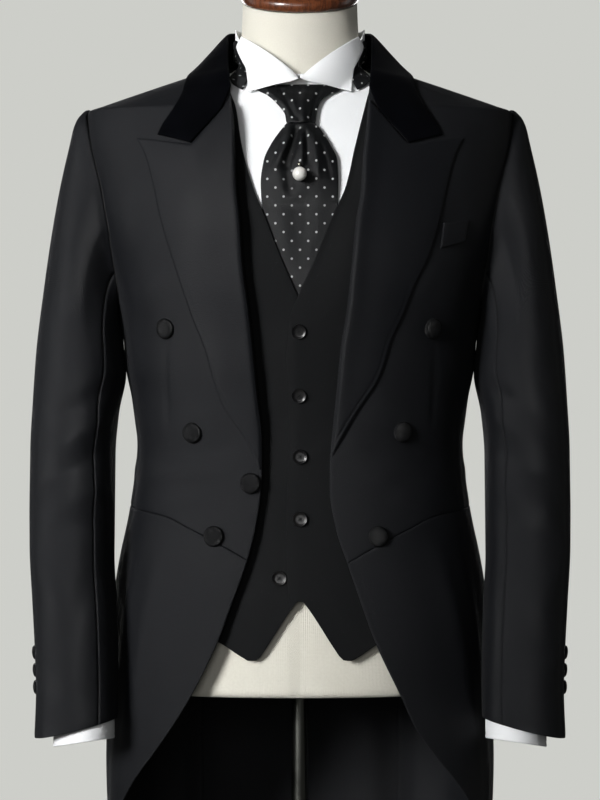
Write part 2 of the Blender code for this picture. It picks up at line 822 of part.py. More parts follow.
def coat_outer_angle(z):
    """Angle of a forepart's side: its seam, then the armhole, then the shoulder seam."""
    if z >= COAT_SHOULDER:
        return 90 - RIDGE_GAP_DEG
    if z > UNDERARM:
        return read(ARMHOLE, z, 1) - RIDGE_GAP_DEG
    return SIDE_FRONT_SEAM - SEAM_DEG


def coat_back_angle(z):
    """Angle of the back's side: its seam, then the armhole, then the shoulder seam."""
    if z >= COAT_SHOULDER:
        return 90 + RIDGE_GAP_DEG
    if z > UNDERARM:
        return read(ARMHOLE, z, 2) + RIDGE_GAP_DEG
    return read(SIDE_BACK_SEAM, z, 1) + SEAM_DEG


def seam_height(angle):
    """Height of the waist seam at an angle."""
    return read(WAIST_SEAM, angle, 1)


def seam_row(inner, outer, columns, shift):
    """Heights along the waist seam for the columns of a panel."""
    found = []
    for j in range(columns + 1):
        z = 1000.0
        for _ in range(8):
            z = seam_height(mix(inner(z), outer(z), j / columns)) + shift
        found.append(z)
    return found


def panel_spots(seam, levels, inner, outer, columns, side, seam_first):
    """Grid of a panel with one edge on the waist seam and the rest at level heights."""
    rows = [[z] * (columns + 1) for z in levels]
    rows = [seam, *rows] if seam_first else [*rows, seam]
    return [[(z, side * mix(inner(z), outer(z), j / columns)) for j, z in enumerate(row)] for row in rows]


def build_coat_body():
    """Foreparts, side bodies, backs with their tails, and skirts."""
    upper = (1066, 1100, 1136, 1170, 1202, 1234, 1260, 1285, 1312, 1340, 1370, 1398, 1416, 1430)
    upper += (1441, 1453, 1463, 1471, COAT_TOP)
    tails = (470, 520, 575, 630, 680, 720, 755, 785, 815, 855, 900, 945)
    for label, side in (("right", -1), ("left", 1)):

        def edge(z, side=side):
            return coat_edge_angle(z, side)

        seam = seam_row(edge, coat_outer_angle, 9, SEAM / 2)
        spots = panel_spots(seam, upper, edge, coat_outer_angle, 9, side, True)
        layer_wall(f"coat_{label}_forepart", COAT_SECTIONS, spots, -CLOTH, 0.0, COAT_FINISH)

        def side_front(_):
            return SIDE_FRONT_SEAM + SEAM_DEG

        def side_back(z):
            return read(SIDE_BACK_SEAM, z, 1) - SEAM_DEG

        seam = seam_row(side_front, side_back, 5, SEAM / 2)
        levels = (1066, 1100, 1136, 1170, 1202, UNDERARM)
        spots = panel_spots(seam, levels, side_front, side_back, 5, side, True)
        layer_wall(f"coat_{label}_side_body", COAT_SECTIONS, spots, -CLOTH, 0.0, COAT_FINISH)

        def skirt_back(z):
            return read(SIDE_BACK_SEAM, z, 1) - SEAM_DEG

        seam = seam_row(edge, skirt_back, 9, -SEAM)
        spots = panel_spots(seam, tails, edge, skirt_back, 9, side, False)
        layer_wall(f"coat_{label}_skirt", COAT_SECTIONS, spots, -CLOTH, 0.0, COAT_FINISH)

        back_levels = (*tails, 995, 1040, 1066, 1100, 1136, 1170, 1202, 1234)
        back_levels += (1260, 1285, 1312, 1340, 1370, 1398, 1416, 1430, 1441, 1453, 1463, 1471, COAT_TOP)

        def middle(_):
            return 180 - SEAM_DEG

        grid = spots_between(back_levels, coat_back_angle, middle, 5)
        spots = [[(z, side * a) for z, a in row] for row in grid]
        layer_wall(f"coat_{label}_back", COAT_SECTIONS, spots, -CLOTH, 0.0, COAT_FINISH)


def lapel_point(side, u, v, lift):
    """A point of a lapel: u runs from the roll line to the edge and v from the foot to the peak."""
    outline = LAPEL_OUTER["left" if side > 0 else "right"]
    foot, peak = outline[0][0], outline[-1][0]
    edge_z = mix(foot, peak, v)
    edge_x = abs(read(outline, edge_z, 1))
    roll_z = mix(foot, LAPEL_TOP, v)
    roll_x = abs(read(FRONT_EDGE, roll_z, 1 if side < 0 else 2)) + 0.4
    x = mix(roll_x, edge_x, u)
    z = mix(roll_z, edge_z, u)
    straight = mix(LAPEL_TOP, peak, GORGE_SHARE)
    dip = (GORGE_Z - straight) * (u / GORGE_SHARE if u < GORGE_SHARE else (1 - u) / (1 - GORGE_SHARE))
    z += dip * v**6
    rise = LAPEL_ROLL * math.exp(-((u * abs(edge_x - roll_x) / LAPEL_ROLL_REACH) ** 2)) * ease(v * 5)
    return front_lifted(COAT_SECTIONS, side * x, z, LAPEL_LIFT + lift + rise)


def build_lapels():
    """The two peaked lapels, lying on the foreparts."""
    shares = (0, 0.07, 0.2, GORGE_SHARE, 0.6, 0.8, 1)
    ups = (0, 0.06, 0.14, 0.23, 0.32, 0.42, 0.52, 0.62, 0.71, 0.79, 0.86, 0.93, 1)
    for label, side in (("right", -1), ("left", 1)):
        grids = [[[lapel_point(side, u, v, lift) for u in shares] for v in ups] for lift in (LAPEL_CLOTH, 0.0)]
        wall(f"lapel_{label}", grids[0], grids[1], COAT_FINISH)


def coat_height(x, y):
    """Height of the coat's surface over a point of the shoulders, or its neckline within the neck."""
    low, high = SHOULDER_FLOOR, COAT_TOP

    def inside(z):
        half, front, back, power = section(COAT_SECTIONS, z)
        return abs(x / half) ** power + abs(y / (front if y < 0 else back)) ** power < 1

    if inside(high):
        return None
    for _ in range(24):
        middle = (low + high) / 2
        low, high = (middle, high) if inside(middle) else (low, middle)
    return low


def between_rows(table, at):
    """A row read between the rows of a table, on a smooth curve through them."""
    i = min(int(at), len(table) - 2)
    t = at - i
    a, b = table[i], table[i + 1]
    before = table[i - 1] if i else a
    after = table[i + 2] if i + 2 < len(table) else b
    found = []
    for p, q, r, w in zip(before, a, b, after):
        found.append(q + t * ((r - p) / 2 + t * (p - 2.5 * q + 2 * r - w / 2 + t * (1.5 * (q - r) + (w - p) / 2))))
    return found


def collar_lines():
    """Lines across the velvet collar on the wearer's left, from its front end to the back."""
    shares = (0, 0.25, 0.5, 0.75, 1)
    lines = []
    for fold_x, fold_z, edge_x, edge_z in COLLAR_FRONT:
        spots = [(mix(fold_x, edge_x, v), mix(fold_z, edge_z, v)) for v in shares]
        lines.append([front_lifted(COAT_SECTIONS, x, z, COLLAR_LIFT) for x, z in spots])
    for k in range(2 * len(COLLAR_ROUND) - 1):
        fx, fy, fz, ex, ey = between_rows(COLLAR_ROUND, k / 2)
        ez = coat_height(ex, ey) + COLLAR_LIFT
        line = []
        for v in shares:
            p = Vector((mix(fx, ex, v), mix(fy, ey, v), mix(fz, ez, v)))
            p += Vector((p.x, p.y, 0)).normalized() * 2.0 * math.sin(math.pi * v)
            ground = coat_height(p.x, p.y)
            if ground is not None:
                p.z = max(p.z, ground + COLLAR_LIFT)
            line.append(p)
        lines.append(line)
    return lines


def build_velvet_collar():
    """The velvet collar, falling from its fold round the neck to the lapels' gorge."""
    half = collar_lines()
    mirrored = [[Vector((-p.x, p.y, p.z)) for p in line] for line in half[:-1]]
    grid = mirrored + list(reversed(half))
    wall_outward("velvet_collar", grid, COLLAR_CLOTH, VELVET_FINISH)


def surface_normals(grid, closed=False):
    """Normals of a grid of points by differences."""
    rows, columns = len(grid), len(grid[0])
    normals = []
    for i in range(rows):
        line = []
        for j in range(columns):
            up = grid[min(i + 1, rows - 1)][j] - grid[max(i - 1, 0)][j]
            if closed:
                across = grid[i][(j + 1) % columns] - grid[i][(j - 1) % columns]
            else:
                across = grid[i][min(j + 1, columns - 1)] - grid[i][max(j - 1, 0)]
            line.append(across.cross(up).normalized())
        normals.append(line)
    return normals


def wall_outward(name, grid, cloth, values):
    """A wall that grows outward from a grid of points."""
    normals = surface_normals(grid)
    middle = grid[len(grid) // 2][len(grid[0]) // 2]
    centre = sum((p for row in grid for p in row), Vector()) / (len(grid) * len(grid[0]))
    probe = normals[len(grid) // 2][len(grid[0]) // 2]
    sign = 1 if probe.dot(middle - centre) > 0 else -1
    other = [[p + n * cloth * sign for p, n in zip(row, line)] for row, line in zip(grid, normals)]
    return wall(name, grid, other, values)


def armhole_loop(side):
    """The armhole as a closed line on the coat, from the shoulder down the front and up the back."""
    heights = (1430, 1424, 1414, 1400, 1385, 1370, 1350, 1330, 1310, 1290, 1270, 1255, 1244, 1237, 1234)
    spots = [(z, read(ARMHOLE, z, 1)) for z in heights]
    spots += [(1234.0, 92.0), (1234.0, 104.0)]
    spots += [(z, read(ARMHOLE, z, 2)) for z in reversed(heights[1:])]
    spots = [(max(z, UNDERARM + 1.5), a) for z, a in spots]
    return [lifted(COAT_SECTIONS, z, side * a, ARMHOLE_LIFT + 1.2 * ease((z - 1385) / 30)) for z, a in spots]


def resample(points, count):
    """Evenly spaced points along a closed line, starting at its first."""
    line = [*points, points[0]]
    lengths = [0.0]
    for a, b in zip(line, line[1:]):
        lengths.append(lengths[-1] + (b - a).length)
    found = []
    for k in range(count):
        at = lengths[-1] * k / count
        i = max(n for n in range(len(line) - 1) if lengths[n] <= at)
        found.append(line[i].lerp(line[i + 1], (at - lengths[i]) / (lengths[i + 1] - lengths[i])))
    return found


def station_ring(station, side):
    """One ring of the sleeve, from the outside forward, in, and back."""
    outer_z, outer_x, inner_z, inner_x, centre_y, depth = station
    ring = []
    for k in range(SLEEVE_SIDES):
        turn = 2 * math.pi * k / SLEEVE_SIDES
        share = (1 + math.cos(turn)) / 2
        x = mix(inner_x, outer_x, share)
        y = centre_y - depth * signed_power(math.sin(turn), SLEEVE_ROUNDNESS)
        ring.append(Vector((side * x, y, mix(inner_z, outer_z, share))))
    return ring


def sleeve_rings(side):
    """Rings of the whole sleeve, from the armhole over its cap to the hem."""
    start = resample(armhole_loop(side), SLEEVE_SIDES)
    biceps = station_ring(SLEEVE_STATIONS[0], side)
    below = station_ring(SLEEVE_STATIONS[1], side)
    rings = []
    for i in range(CAP_RINGS):
        t = i / CAP_RINGS
        ring = []
        for k in range(SLEEVE_SIDES):
            top = (1 + math.cos(2 * math.pi * k / SLEEVE_SIDES)) / 2
            a, d = start[k], biceps[k]
            reach = (d - a).length
            away = Vector((side, 0, 0.2 * top - 0.1 * (1 - top)))
            b = a + away * min(14.0, 0.3 * reach + 1)
            c = d + (biceps[k] - below[k]).normalized() * reach * mix(0.25, 0.52, top)
            ring.append(a * (1 - t) ** 3 + b * 3 * t * (1 - t) ** 2 + c * 3 * t * t * (1 - t) + d * t**3)
        rings.append(ring)
    rings += [station_ring(station, side) for station in SLEEVE_STATIONS]
    return rings


def build_sleeves():
    """Top and under sleeve on each side, with the shirt cuff and three buttons at each wrist."""
    for label, side in (("right", -1), ("left", 1)):
        rings = sleeve_rings(side)
        normals = surface_normals(rings, closed=True)
        outward = 1 if normals[8][0].x * side > 0 else -1
        inside = []
        for ring, line in zip(rings, normals):
            inside.append([p - n * outward * SLEEVE_CLOTH for p, n in zip(ring, line)])
        top = [k % SLEEVE_SIDES for k in range(BACK_SLEEVE_SEAM - SLEEVE_SIDES, FRONT_SLEEVE_SEAM + 1)]
        under = list(range(FRONT_SLEEVE_SEAM, BACK_SLEEVE_SEAM + 1))
        for piece, picks in (("top_sleeve", top), ("under_sleeve", under)):
            outer = [seam_trim([ring[k] for k in picks]) for ring in rings]
            inner = [seam_trim([ring[k] for k in picks]) for ring in inside]
            wall(f"coat_{label}_{piece}", outer, inner, COAT_FINISH)
        build_cuff(label, side)
        for number, z in enumerate((883, 866, 849), 1):
            build_cuff_button(label, side, number, z)


def seam_trim(line):
    """Draws both ends of a line of points in by half a seam gap."""
    gap = SEAM / 2
    first = line[0] + (line[1] - line[0]).normalized() * gap
    last = line[-1] + (line[-2] - line[-1]).normalized() * gap
    return [first, *line[1:-1], last]


def wrist_station(z):
    """The sleeve's station at an outer height near the wrist, read between its neighbours."""
    stations = SLEEVE_STATIONS
    i = max(k for k in range(len(stations) - 1) if stations[k][0] >= z)
    t = (stations[i][0] - z) / (stations[i][0] - stations[i + 1][0])
    return tuple(mix(a, b, t) for a, b in zip(stations[i], stations[i + 1]))


def build_cuff(label, side):
    """The shirt cuff, a short tube seated inside the sleeve's opening and showing below it."""
    clear = SLEEVE_CLOTH + SEAM + CUFF_EASE
    outer_z, outer_x, inner_z, inner_x, centre_y, depth = SLEEVE_STATIONS[-1]
    rings = {0.0: [], CUFF_CLOTH: []}
    for drop in (CUFF_TOP, CUFF_MIDDLE, CUFF_FOOT):
        for cloth, made in rings.items():
            station = (
                outer_z + drop,
                outer_x - CUFF_INSET_OUTSIDE - cloth,
                inner_z + drop,
                inner_x + clear + cloth + CUFF_TAPER * (drop - CUFF_FOOT),
                centre_y + CUFF_LEAN * drop,
                depth - CUFF_INSET_FRONT - cloth,
            )
            made.append(station_ring(station, side))
    wall(f"shirt_cuff_{label}", rings[0.0], rings[CUFF_CLOTH], SHIRT_FINISH, closed=True)


def build_cuff_button(label, side, number, z):
    """A small covered button on the sleeve's outer back edge."""
    ring = station_ring(wrist_station(z), side)
    k = SLEEVE_SIDES - 1
    point = ring[k].lerp(ring[0], CUFF_BUTTON_SIDE)
    lower = station_ring(wrist_station(z - 5), side)
    out = (ring[0] - ring[k]).cross(lower[k] - ring[k]).normalized()
    out = out if out.x * side > 0 else -out
    r = CUFF_BUTTON_RADIUS
    profile = ((r - 0.8, 0), (r, 1.2), (r - 1.2, 3.2), (r - 4.2, 4.4))
    turned(f"cuff_button_{label}_{number}", profile, 10, BUTTON_FINISH, stand_up(point + out * 0.6, out))


def build_front_buttons():
    """The covered buttons on the coat fronts."""
    # Wearer's side: x, height, lift of each button, more where the front hollows
    places = {
        "right": ((-132.6, 1206.7, 0.3), (-106.0, 1103.6, 0.5), (-84.5, 1001.5, 0.7), (-48.5, 1054.0, 0.9)),
        "left": ((130.6, 1206.7, 0.3), (101.0, 1104.6, 0.5), (76.6, 1001.5, 0.8)),
    }
    r = COVERED_BUTTON_RADIUS
    profile = ((r - 1.0, 0), (r, 1.6), (r - 1.6, 4.2), (r - 5.5, 5.8))
    for label, spots in places.items():
        for number, (x, z, lift) in enumerate(spots, 1):
            angle = front_angle(COAT_SECTIONS, x, z)
            point = lifted(COAT_SECTIONS, z, angle, lift)
            place = stand_up(point, body_normal(COAT_SECTIONS, z, angle))
            turned(f"coat_button_{label}_{number}", profile, 12, BUTTON_FINISH, place)


def build_welt():
    """The breast pocket's welt on the wearer's left."""
    grids = []
    for lift in (SEAM + WELT_CLOTH, SEAM):
        grid = []
        for v in (0, 0.5, 1):
            ends = [(mix(b[0], t[0], v), mix(b[1], t[1], v)) for b, t in zip(WELT_BOTTOM, WELT_TOP)]
            row = []
            for u in (0, 0.25, 0.5, 0.75, 1):
                x = mix(ends[0][0], ends[1][0], u)
                z = mix(ends[0][1], ends[1][1], u)
                row.append(front_lifted(COAT_SECTIONS, x, z, lift))
            grid.append(row)
        grids.append(grid)
    wall("breast_welt", grids[0], grids[1], COAT_FINISH)


def main():
    """Builds every piece."""
    clear_scene()
    build_form()
    build_shirt()
    build_ascot()
    build_waistcoat()
    build_coat_body()
    build_lapels()
    build_velvet_collar()
    build_sleeves()
    build_front_buttons()
    build_welt()


main()
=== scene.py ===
"""Looks of a mourning suit on a dress form: tail coat, waistcoat, wing-collar shirt and ascot.

Lengths in the tables are millimetres and become metres when a mesh is made. The suit faces -Y
and the wearer's left is at +X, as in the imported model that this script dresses.
"""

import sys

import logging
import math
from dataclasses import dataclass, field
from enum import Enum
from functools import lru_cache
from typing import Callable, Optional, Sequence

import bmesh
import bpy
import numpy as np
from mathutils import Matrix, Vector


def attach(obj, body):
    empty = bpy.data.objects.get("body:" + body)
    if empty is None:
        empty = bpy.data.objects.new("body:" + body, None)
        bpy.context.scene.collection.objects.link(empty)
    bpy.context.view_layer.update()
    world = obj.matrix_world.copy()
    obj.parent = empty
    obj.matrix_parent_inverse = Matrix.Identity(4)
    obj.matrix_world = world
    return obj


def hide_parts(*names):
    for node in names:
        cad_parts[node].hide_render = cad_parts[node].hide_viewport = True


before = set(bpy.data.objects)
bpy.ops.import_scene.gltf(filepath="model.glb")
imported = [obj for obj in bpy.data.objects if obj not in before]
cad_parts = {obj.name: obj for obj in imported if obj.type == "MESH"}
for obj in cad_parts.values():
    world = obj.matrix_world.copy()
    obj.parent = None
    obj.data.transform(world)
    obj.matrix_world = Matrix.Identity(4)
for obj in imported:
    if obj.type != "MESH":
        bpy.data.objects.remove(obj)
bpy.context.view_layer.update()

MM = 0.001
LOG = logging.getLogger("suit")
# Distances from a panel's edge that get their own row of points, where the edge turns over.
FINE_RIM = (0.8, 2.0)
WIDE_RIM = (*FINE_RIM, 4.0)
Grid = np.ndarray
Colour = tuple[float, float, float, float]
Triple = tuple[float, float, float]
Pair = tuple[float, float]


class Side(Enum):
    """The wearer's sides and the sign of X on each."""

    RIGHT = -1
    LEFT = 1

    @property
    def word(self) -> str:
        """The side's name as it stands in node names."""
        return self.name.lower()


class Edge(Enum):
    """How the free edge of a cloth wall looks."""

    TURNED = 0.45
    RAW = 0.0


def srgb(red: float, green: float, blue: float) -> Colour:
    """A linear colour from 0 to 255 screen values.

    Args:
        red: red, from 0 to 255.
        green: green, from 0 to 255.
        blue: blue, from 0 to 255.

    Returns:
        The linear colour, with full alpha.
    """
    linear = []
    for value in (red, green, blue):
        share = value / 255
        linear.append(share / 12.92 if share <= 0.04045 else ((share + 0.055) / 1.055) ** 2.4)
    return (linear[0], linear[1], linear[2], 1.0)


def mix(start: Grid, end: Grid, share: Grid) -> Grid:
    """Part of the way from start to end."""
    return start + (end - start) * share


def ease(share: Grid) -> Grid:
    """A smooth step from 0 to 1."""
    t = np.clip(share, 0.0, 1.0)
    return t * t * (3 - 2 * t)


def bell(distance: Grid, width: float) -> Grid:
    """A soft bump: 1 in the middle, fading over a width."""
    return np.exp(-((distance / width) ** 2))


def turned_out(normals: Grid, away: Grid) -> Grid:
    """The normals, all turned over where they mostly point against a direction."""
    return normals if (normals * away).sum() > 0 else -normals


def signed_power(value: Grid, power: Grid) -> Grid:
    """A power that keeps its sign."""
    return np.sign(value) * np.abs(value) ** power


def unit(vectors: Grid) -> Grid:
    """Vectors scaled to length one."""
    length = np.linalg.norm(vectors, axis=-1, keepdims=True)
    return vectors / np.maximum(length, 1e-9)


@dataclass(frozen=True)
class Table:
    """Rows of numbers, read on monotone curves along their first column."""

    rows: tuple[tuple[float, ...], ...]

    @lru_cache(maxsize=None)
    def curve(self, column: int) -> tuple[Grid, Grid, Grid]:
        """Keys, values and slopes of a column.

        Args:
            column: number of the column.

        Returns:
            The keys, the values and the slope at each key.
        """
        keys = np.array([row[0] for row in self.rows], float)
        values = np.array([row[column] for row in self.rows], float)
        steps = np.diff(values) / np.diff(keys)
        slopes = np.empty_like(values)
        slopes[0], slopes[-1] = steps[0], steps[-1]
        product = steps[:-1] * steps[1:]
        total = np.where(product > 0, steps[:-1] + steps[1:], 1.0)
        slopes[1:-1] = np.where(product > 0, 2 * product / total, 0.0)
        return keys, values, slopes

    def at(self, where: Grid, column: int = 1) -> Grid:
        """Values of a column.

        Args:
            where: places along the first column.
            column: number of the column to read.

        Returns:
            The value at each place.
        """
        keys, values, slopes = self.curve(column)
        place = np.clip(np.asarray(where, float), keys[0], keys[-1])
        i = np.clip(np.searchsorted(keys, place, side="right") - 1, 0, len(keys) - 2)
        span = keys[i + 1] - keys[i]
        t = (place - keys[i]) / span
        low = (1 + 2 * t) * (1 - t) ** 2 * values[i] + t * (1 - t) ** 2 * span * slopes[i]
        high = t * t * (3 - 2 * t) * values[i + 1] - t * t * (1 - t) * span * slopes[i + 1]
        return low + high


@dataclass(frozen=True)
class Layer:
    """A smooth body surface through sections: height, half width, front depth, back depth, roundness."""

    sections: Table

    def shape(self, z: Grid) -> tuple[Grid, Grid, Grid, Grid]:
        """Half width, front depth, back depth and roundness at heights z."""
        half, front, back, power = (self.sections.at(z, i) for i in (1, 2, 3, 4))
        return half, front, back, power

    def point(self, z: Grid, angle: Grid) -> Grid:
        """Points at heights and angles from the front, towards the wearer's left.

        Args:
            z: heights.
            angle: angles from the front, in degrees.

        Returns:
            A point for each height and angle.
        """
        z, angle = np.broadcast_arrays(np.asarray(z, float), np.asarray(angle, float))
        half, front, back, power = self.shape(z)
        turn = np.radians(angle)
        depth = np.where(np.cos(turn) >= 0, front, back)
        x = half * signed_power(np.sin(turn), 2 / power)
        y = -depth * signed_power(np.cos(turn), 2 / power)
        return np.stack([x, y, z], axis=-1)

    def normal(self, z: Grid, angle: Grid) -> Grid:
        """Outward directions at heights and angles.

        Args:
            z: heights.
            angle: angles from the front, in degrees.

        Returns:
            A direction for each height and angle.
        """
        z, angle = np.broadcast_arrays(np.asarray(z, float), np.asarray(angle, float))
        half, front, back, power = self.shape(z)
        is_front = np.cos(np.radians(angle)) >= 0
        depth = np.where(is_front, front, back)
        p = self.point(z, angle)
        low, high = self.shape(z - 1), self.shape(z + 1)
        half_slope = (high[0] - low[0]) / 2
        depth_slope = np.where(is_front, high[1] - low[1], high[2] - low[2]) / 2
        across = np.abs(p[..., 0] / half)
        along = np.abs(p[..., 1] / depth)
        nx = np.sign(p[..., 0]) * across ** (power - 1) / half
        ny = np.sign(p[..., 1]) * along ** (power - 1) / depth
        nz = -(across**power) * half_slope / half - (along**power) * depth_slope / depth
        return unit(np.stack([nx, ny, nz], axis=-1))

    def angle_of(self, x: Grid, z: Grid) -> Grid:
        """Angles at which the front has these x values.

        Args:
            x: places across.
            z: heights.

        Returns:
            The angle for each place.
        """
        half, _, _, power = self.shape(z)
        share = np.minimum(np.abs(x) / half, 1.0)
        return np.sign(x) * np.degrees(np.arcsin(share ** (power / 2)))

    def out(self, z: Grid, angle: Grid, lift: Grid) -> Grid:
        """Points moved out from the surface by a lift."""
        return self.point(z, angle) + self.normal(z, angle) * np.asarray(lift, float)[..., None]

    def front(self, x: Grid, z: Grid, lift: Grid) -> Grid:
        """Points of the front seen at x and z, moved out by a lift."""
        x, z = np.broadcast_arrays(np.asarray(x, float), np.asarray(z, float))
        return self.out(z, self.angle_of(x, z), np.broadcast_to(np.asarray(lift, float), x.shape))


FORM = Layer(Table((
    (830, 164, 104, 112, 2.25),
    (900, 167, 107, 116, 2.25),
    (960, 163, 105, 112, 2.25),
    (1020, 153, 101, 101, 2.2),
    (1085, 147, 99, 92, 2.2),
    (1140, 152, 104, 95, 2.2),
    (1200, 160, 112, 103, 2.2),
    (1260, 168, 117, 110, 2.2),
    (1310, 178, 114, 112, 2.25),
    (1360, 189, 104, 107, 2.3),
    (1400, 195, 90, 98, 2.3),
    (1422, 192, 78, 86, 2.3),
    (1434, 172, 71, 78, 2.25),
    (1445, 142, 66, 73, 2.2),
    (1452, 119, 63, 70, 2.15),
    (1458, 100, 61, 67, 2.1),
    (1463, 84, 59, 65, 2.05),
    (1468, 72, 58, 63, 2.0),
    (1475, 63, 57, 62, 2.0),
    (1500, 60, 56, 60, 2.0),
    (1545, 58, 54, 58, 2.0),
)))

COAT = Layer(Table((
    (470, 176, 104, 136, 2.2),
    (620, 190, 118, 139, 2.2),
    (766, 197, 128, 140, 2.2),
    (850, 193, 128, 138, 2.2),
    (932, 188, 125, 134, 2.2),
    (983, 181, 122, 127, 2.2),
    (1034, 172, 118, 116, 2.2),
    (1085, 166, 117, 108, 2.2),
    (1136, 171, 122, 110, 2.2),
    (1167, 177, 127, 114, 2.2),
    (1200, 180, 131, 118, 2.2),
    (1250, 189, 136, 125, 2.2),
    (1300, 202, 135, 129, 2.25),
    (1350, 211, 126, 126, 2.3),
    (1400, 217, 109, 116, 2.3),
    (1428, 216, 92, 103, 2.3),
    (1434, 201, 87, 98, 2.25),
    (1440, 184, 83, 94, 2.25),
    (1454, 143, 77, 86, 2.2),
    (1461, 122, 75, 82, 2.15),
    (1467, 104, 73, 79, 2.1),
    (1472, 91, 72, 76, 2.05),
    (1477, 81, 71, 74, 2.0),
)))

# Height, then x of the front edge on the wearer's right and left, or of the roll line above it.
FRONT_EDGE = Table((
    (780, -150.0, 137.5),
    (812, -127.7, 115.0),
    (844, -108.0, 100.0),
    (895, -82.5, 75.6),
    (932, -68.7, 61.9),
    (975, -53.0, 47.0),
    (1008, -44.2, 36.0),
    (1048, -38.3, 29.5),
    (1067, -37.3, 29.5),
    (1097, -37.3, 31.4),
    (1136, -41.2, 35.4),
    (1185, -46.0, 40.0),
    (1223, -50.0, 46.0),
    (1270, -56.0, 51.0),
    (1311, -58.5, 55.0),
    (1342, -62.0, 59.9),
    (1375, -63.8, 62.0),
    (1410, -65.0, 66.0),
    (1436, -68.7, 67.8),
    (1456, -71.0, 71.0),
    (1477, -77.0, 77.0),
))
# Height, then angle of the edge that sweeps back to the tail.
TAIL_EDGE = Table(((470, 128.0), (560, 113.0), (640, 94.0), (700, 76.0), (740, 63.0), (780, 49.0)))
# Height, then angle of the armhole in front and behind.
ARMHOLE = Table((
    (1234, 80.0, 116.0),
    (1244, 77.0, 121.0),
    (1260, 75.5, 123.0),
    (1280, 73.0, 123.0),
    (1310, 69.5, 120.0),
    (1340, 69.5, 116.0),
    (1370, 72.0, 111.0),
    (1400, 77.0, 104.0),
    (1420, 83.5, 97.0),
    (1430, 90.0, 90.0),
))
# Angle, then height of the waist seam.
WAIST_SEAM = Table(((12, 974), (22.6, 991.6), (34.5, 1007), (50, 1021), (90, 1030), (150, 1040)))
# Height, then angle of the seam between side and back.
SIDE_BACK_SEAM = Table(((470, 150.0), (1040, 150.0), (1150, 137.0), (1234, 116.0)))
# Height, then x of the lapel's outer edge.
LAPEL_EDGE = {
    Side.LEFT: Table((
        (1082, 32.0),
        (1121, 54.0),
        (1161, 79.0),
        (1197, 90.3),
        (1222, 102.0),
        (1244, 110.0),
        (1277, 125.7),
        (1317, 137.5),
        (1352, 145.3),
        (1379, 153.0),
        (1396, 162.0),
    )),
    Side.RIGHT: Table((
        (1068, 40.0),
        (1097, 54.0),
        (1136, 78.5),
        (1185, 93.0),
        (1224, 108.0),
        (1277, 125.7),
        (1317, 137.5),
        (1352, 145.3),
        (1379, 153.0),
        (1396, 162.0),
    )),
}


@dataclass(frozen=True)
class Crease:
    """A soft fold between two places of a panel's own map, raised or sunk, fading at both ends."""

    start: Pair
    end: Pair
    width: float
    height: float

    def on(self, across: Grid, up: Grid) -> Grid:
        """Height of this fold over a panel.

        Args:
            across: first map coordinate of each point, in millimetres.
            up: second map coordinate of each point, in millimetres.

        Returns:
            How far the cloth moves out at each point.
        """
        run = np.array(self.end) - np.array(self.start)
        length = float(np.hypot(*run))
        along = ((across - self.start[0]) * run[0] + (up - self.start[1]) * run[1]) / length**2
        off = ((across - self.start[0]) * run[1] - (up - self.start[1]) * run[0]) / length
        bow = 0.06 * length * (np.clip(along, 0, 1) - 0.5) ** 2
        fade = ease(along / 0.35 + 0.35) * ease((1 - along) / 0.35 + 0.35)
        return self.height * bell(off - bow, self.width) * fade


def folded(creases: Sequence[Crease], across: Grid, up: Grid) -> Grid:
    """The heights of several folds together.

    Args:
        creases: the folds.
        across: first map coordinate of each point.
        up: second map coordinate of each point.

    Returns:
        How far the cloth moves out at each point.
    """
    total = np.zeros(np.broadcast(across, up).shape)
    for crease in creases:
        total = total + crease.on(across, up)
    return total


def fine_shares(count: int, width: float, rim: Sequence[float] = (*WIDE_RIM, 8.0)) -> Grid:
    """Shares from 0 to 1 that lie closer together near both ends.

    Args:
        count: number of even steps between the rims.
        width: the real width that the shares span, in millimetres.
        rim: distances from each end that get a line of their own.

    Returns:
        Rising shares.
    """
    near = [d / width for d in rim if d < width * 0.2]
    inner = np.linspace(near[-1] if near else 0.0, 1 - (near[-1] if near else 0.0), count + 1)
    return np.concatenate([[0.0], near[:-1], inner, [1 - d for d in reversed(near[:-1])], [1.0]])


def grid_normals(grid: Grid, closed: bool, away_from: Optional[Vector] = None) -> Grid:
    """Normals of a grid of points by differences.

    Args:
        grid: points as rows, columns and three coordinates.
        closed: whether the last column meets the first.
        away_from: a point that the normals turn away from on the whole.

    Returns:
        A normal for each point.
    """
    up = np.gradient(grid, axis=0)
    if closed:
        across = np.roll(grid, -1, axis=1) - np.roll(grid, 1, axis=1)
    else:
        across = np.gradient(grid, axis=1)
    normals = unit(np.cross(across, up))
    return normals if away_from is None else turned_out(normals, grid - np.array(away_from))


def lengths(grid: Grid, axis: int) -> Grid:
    """Running length along the rows or columns of a grid.

    Args:
        grid: points as rows, columns and three coordinates.
        axis: 0 down the columns, 1 along the rows.

    Returns:
        The length from the first row or column to each point.
    """
    steps = np.linalg.norm(np.diff(grid, axis=axis), axis=-1)
    pad = [(0, 0), (0, 0)]
    pad[axis] = (1, 0)
    return np.pad(np.cumsum(steps, axis=axis), pad)


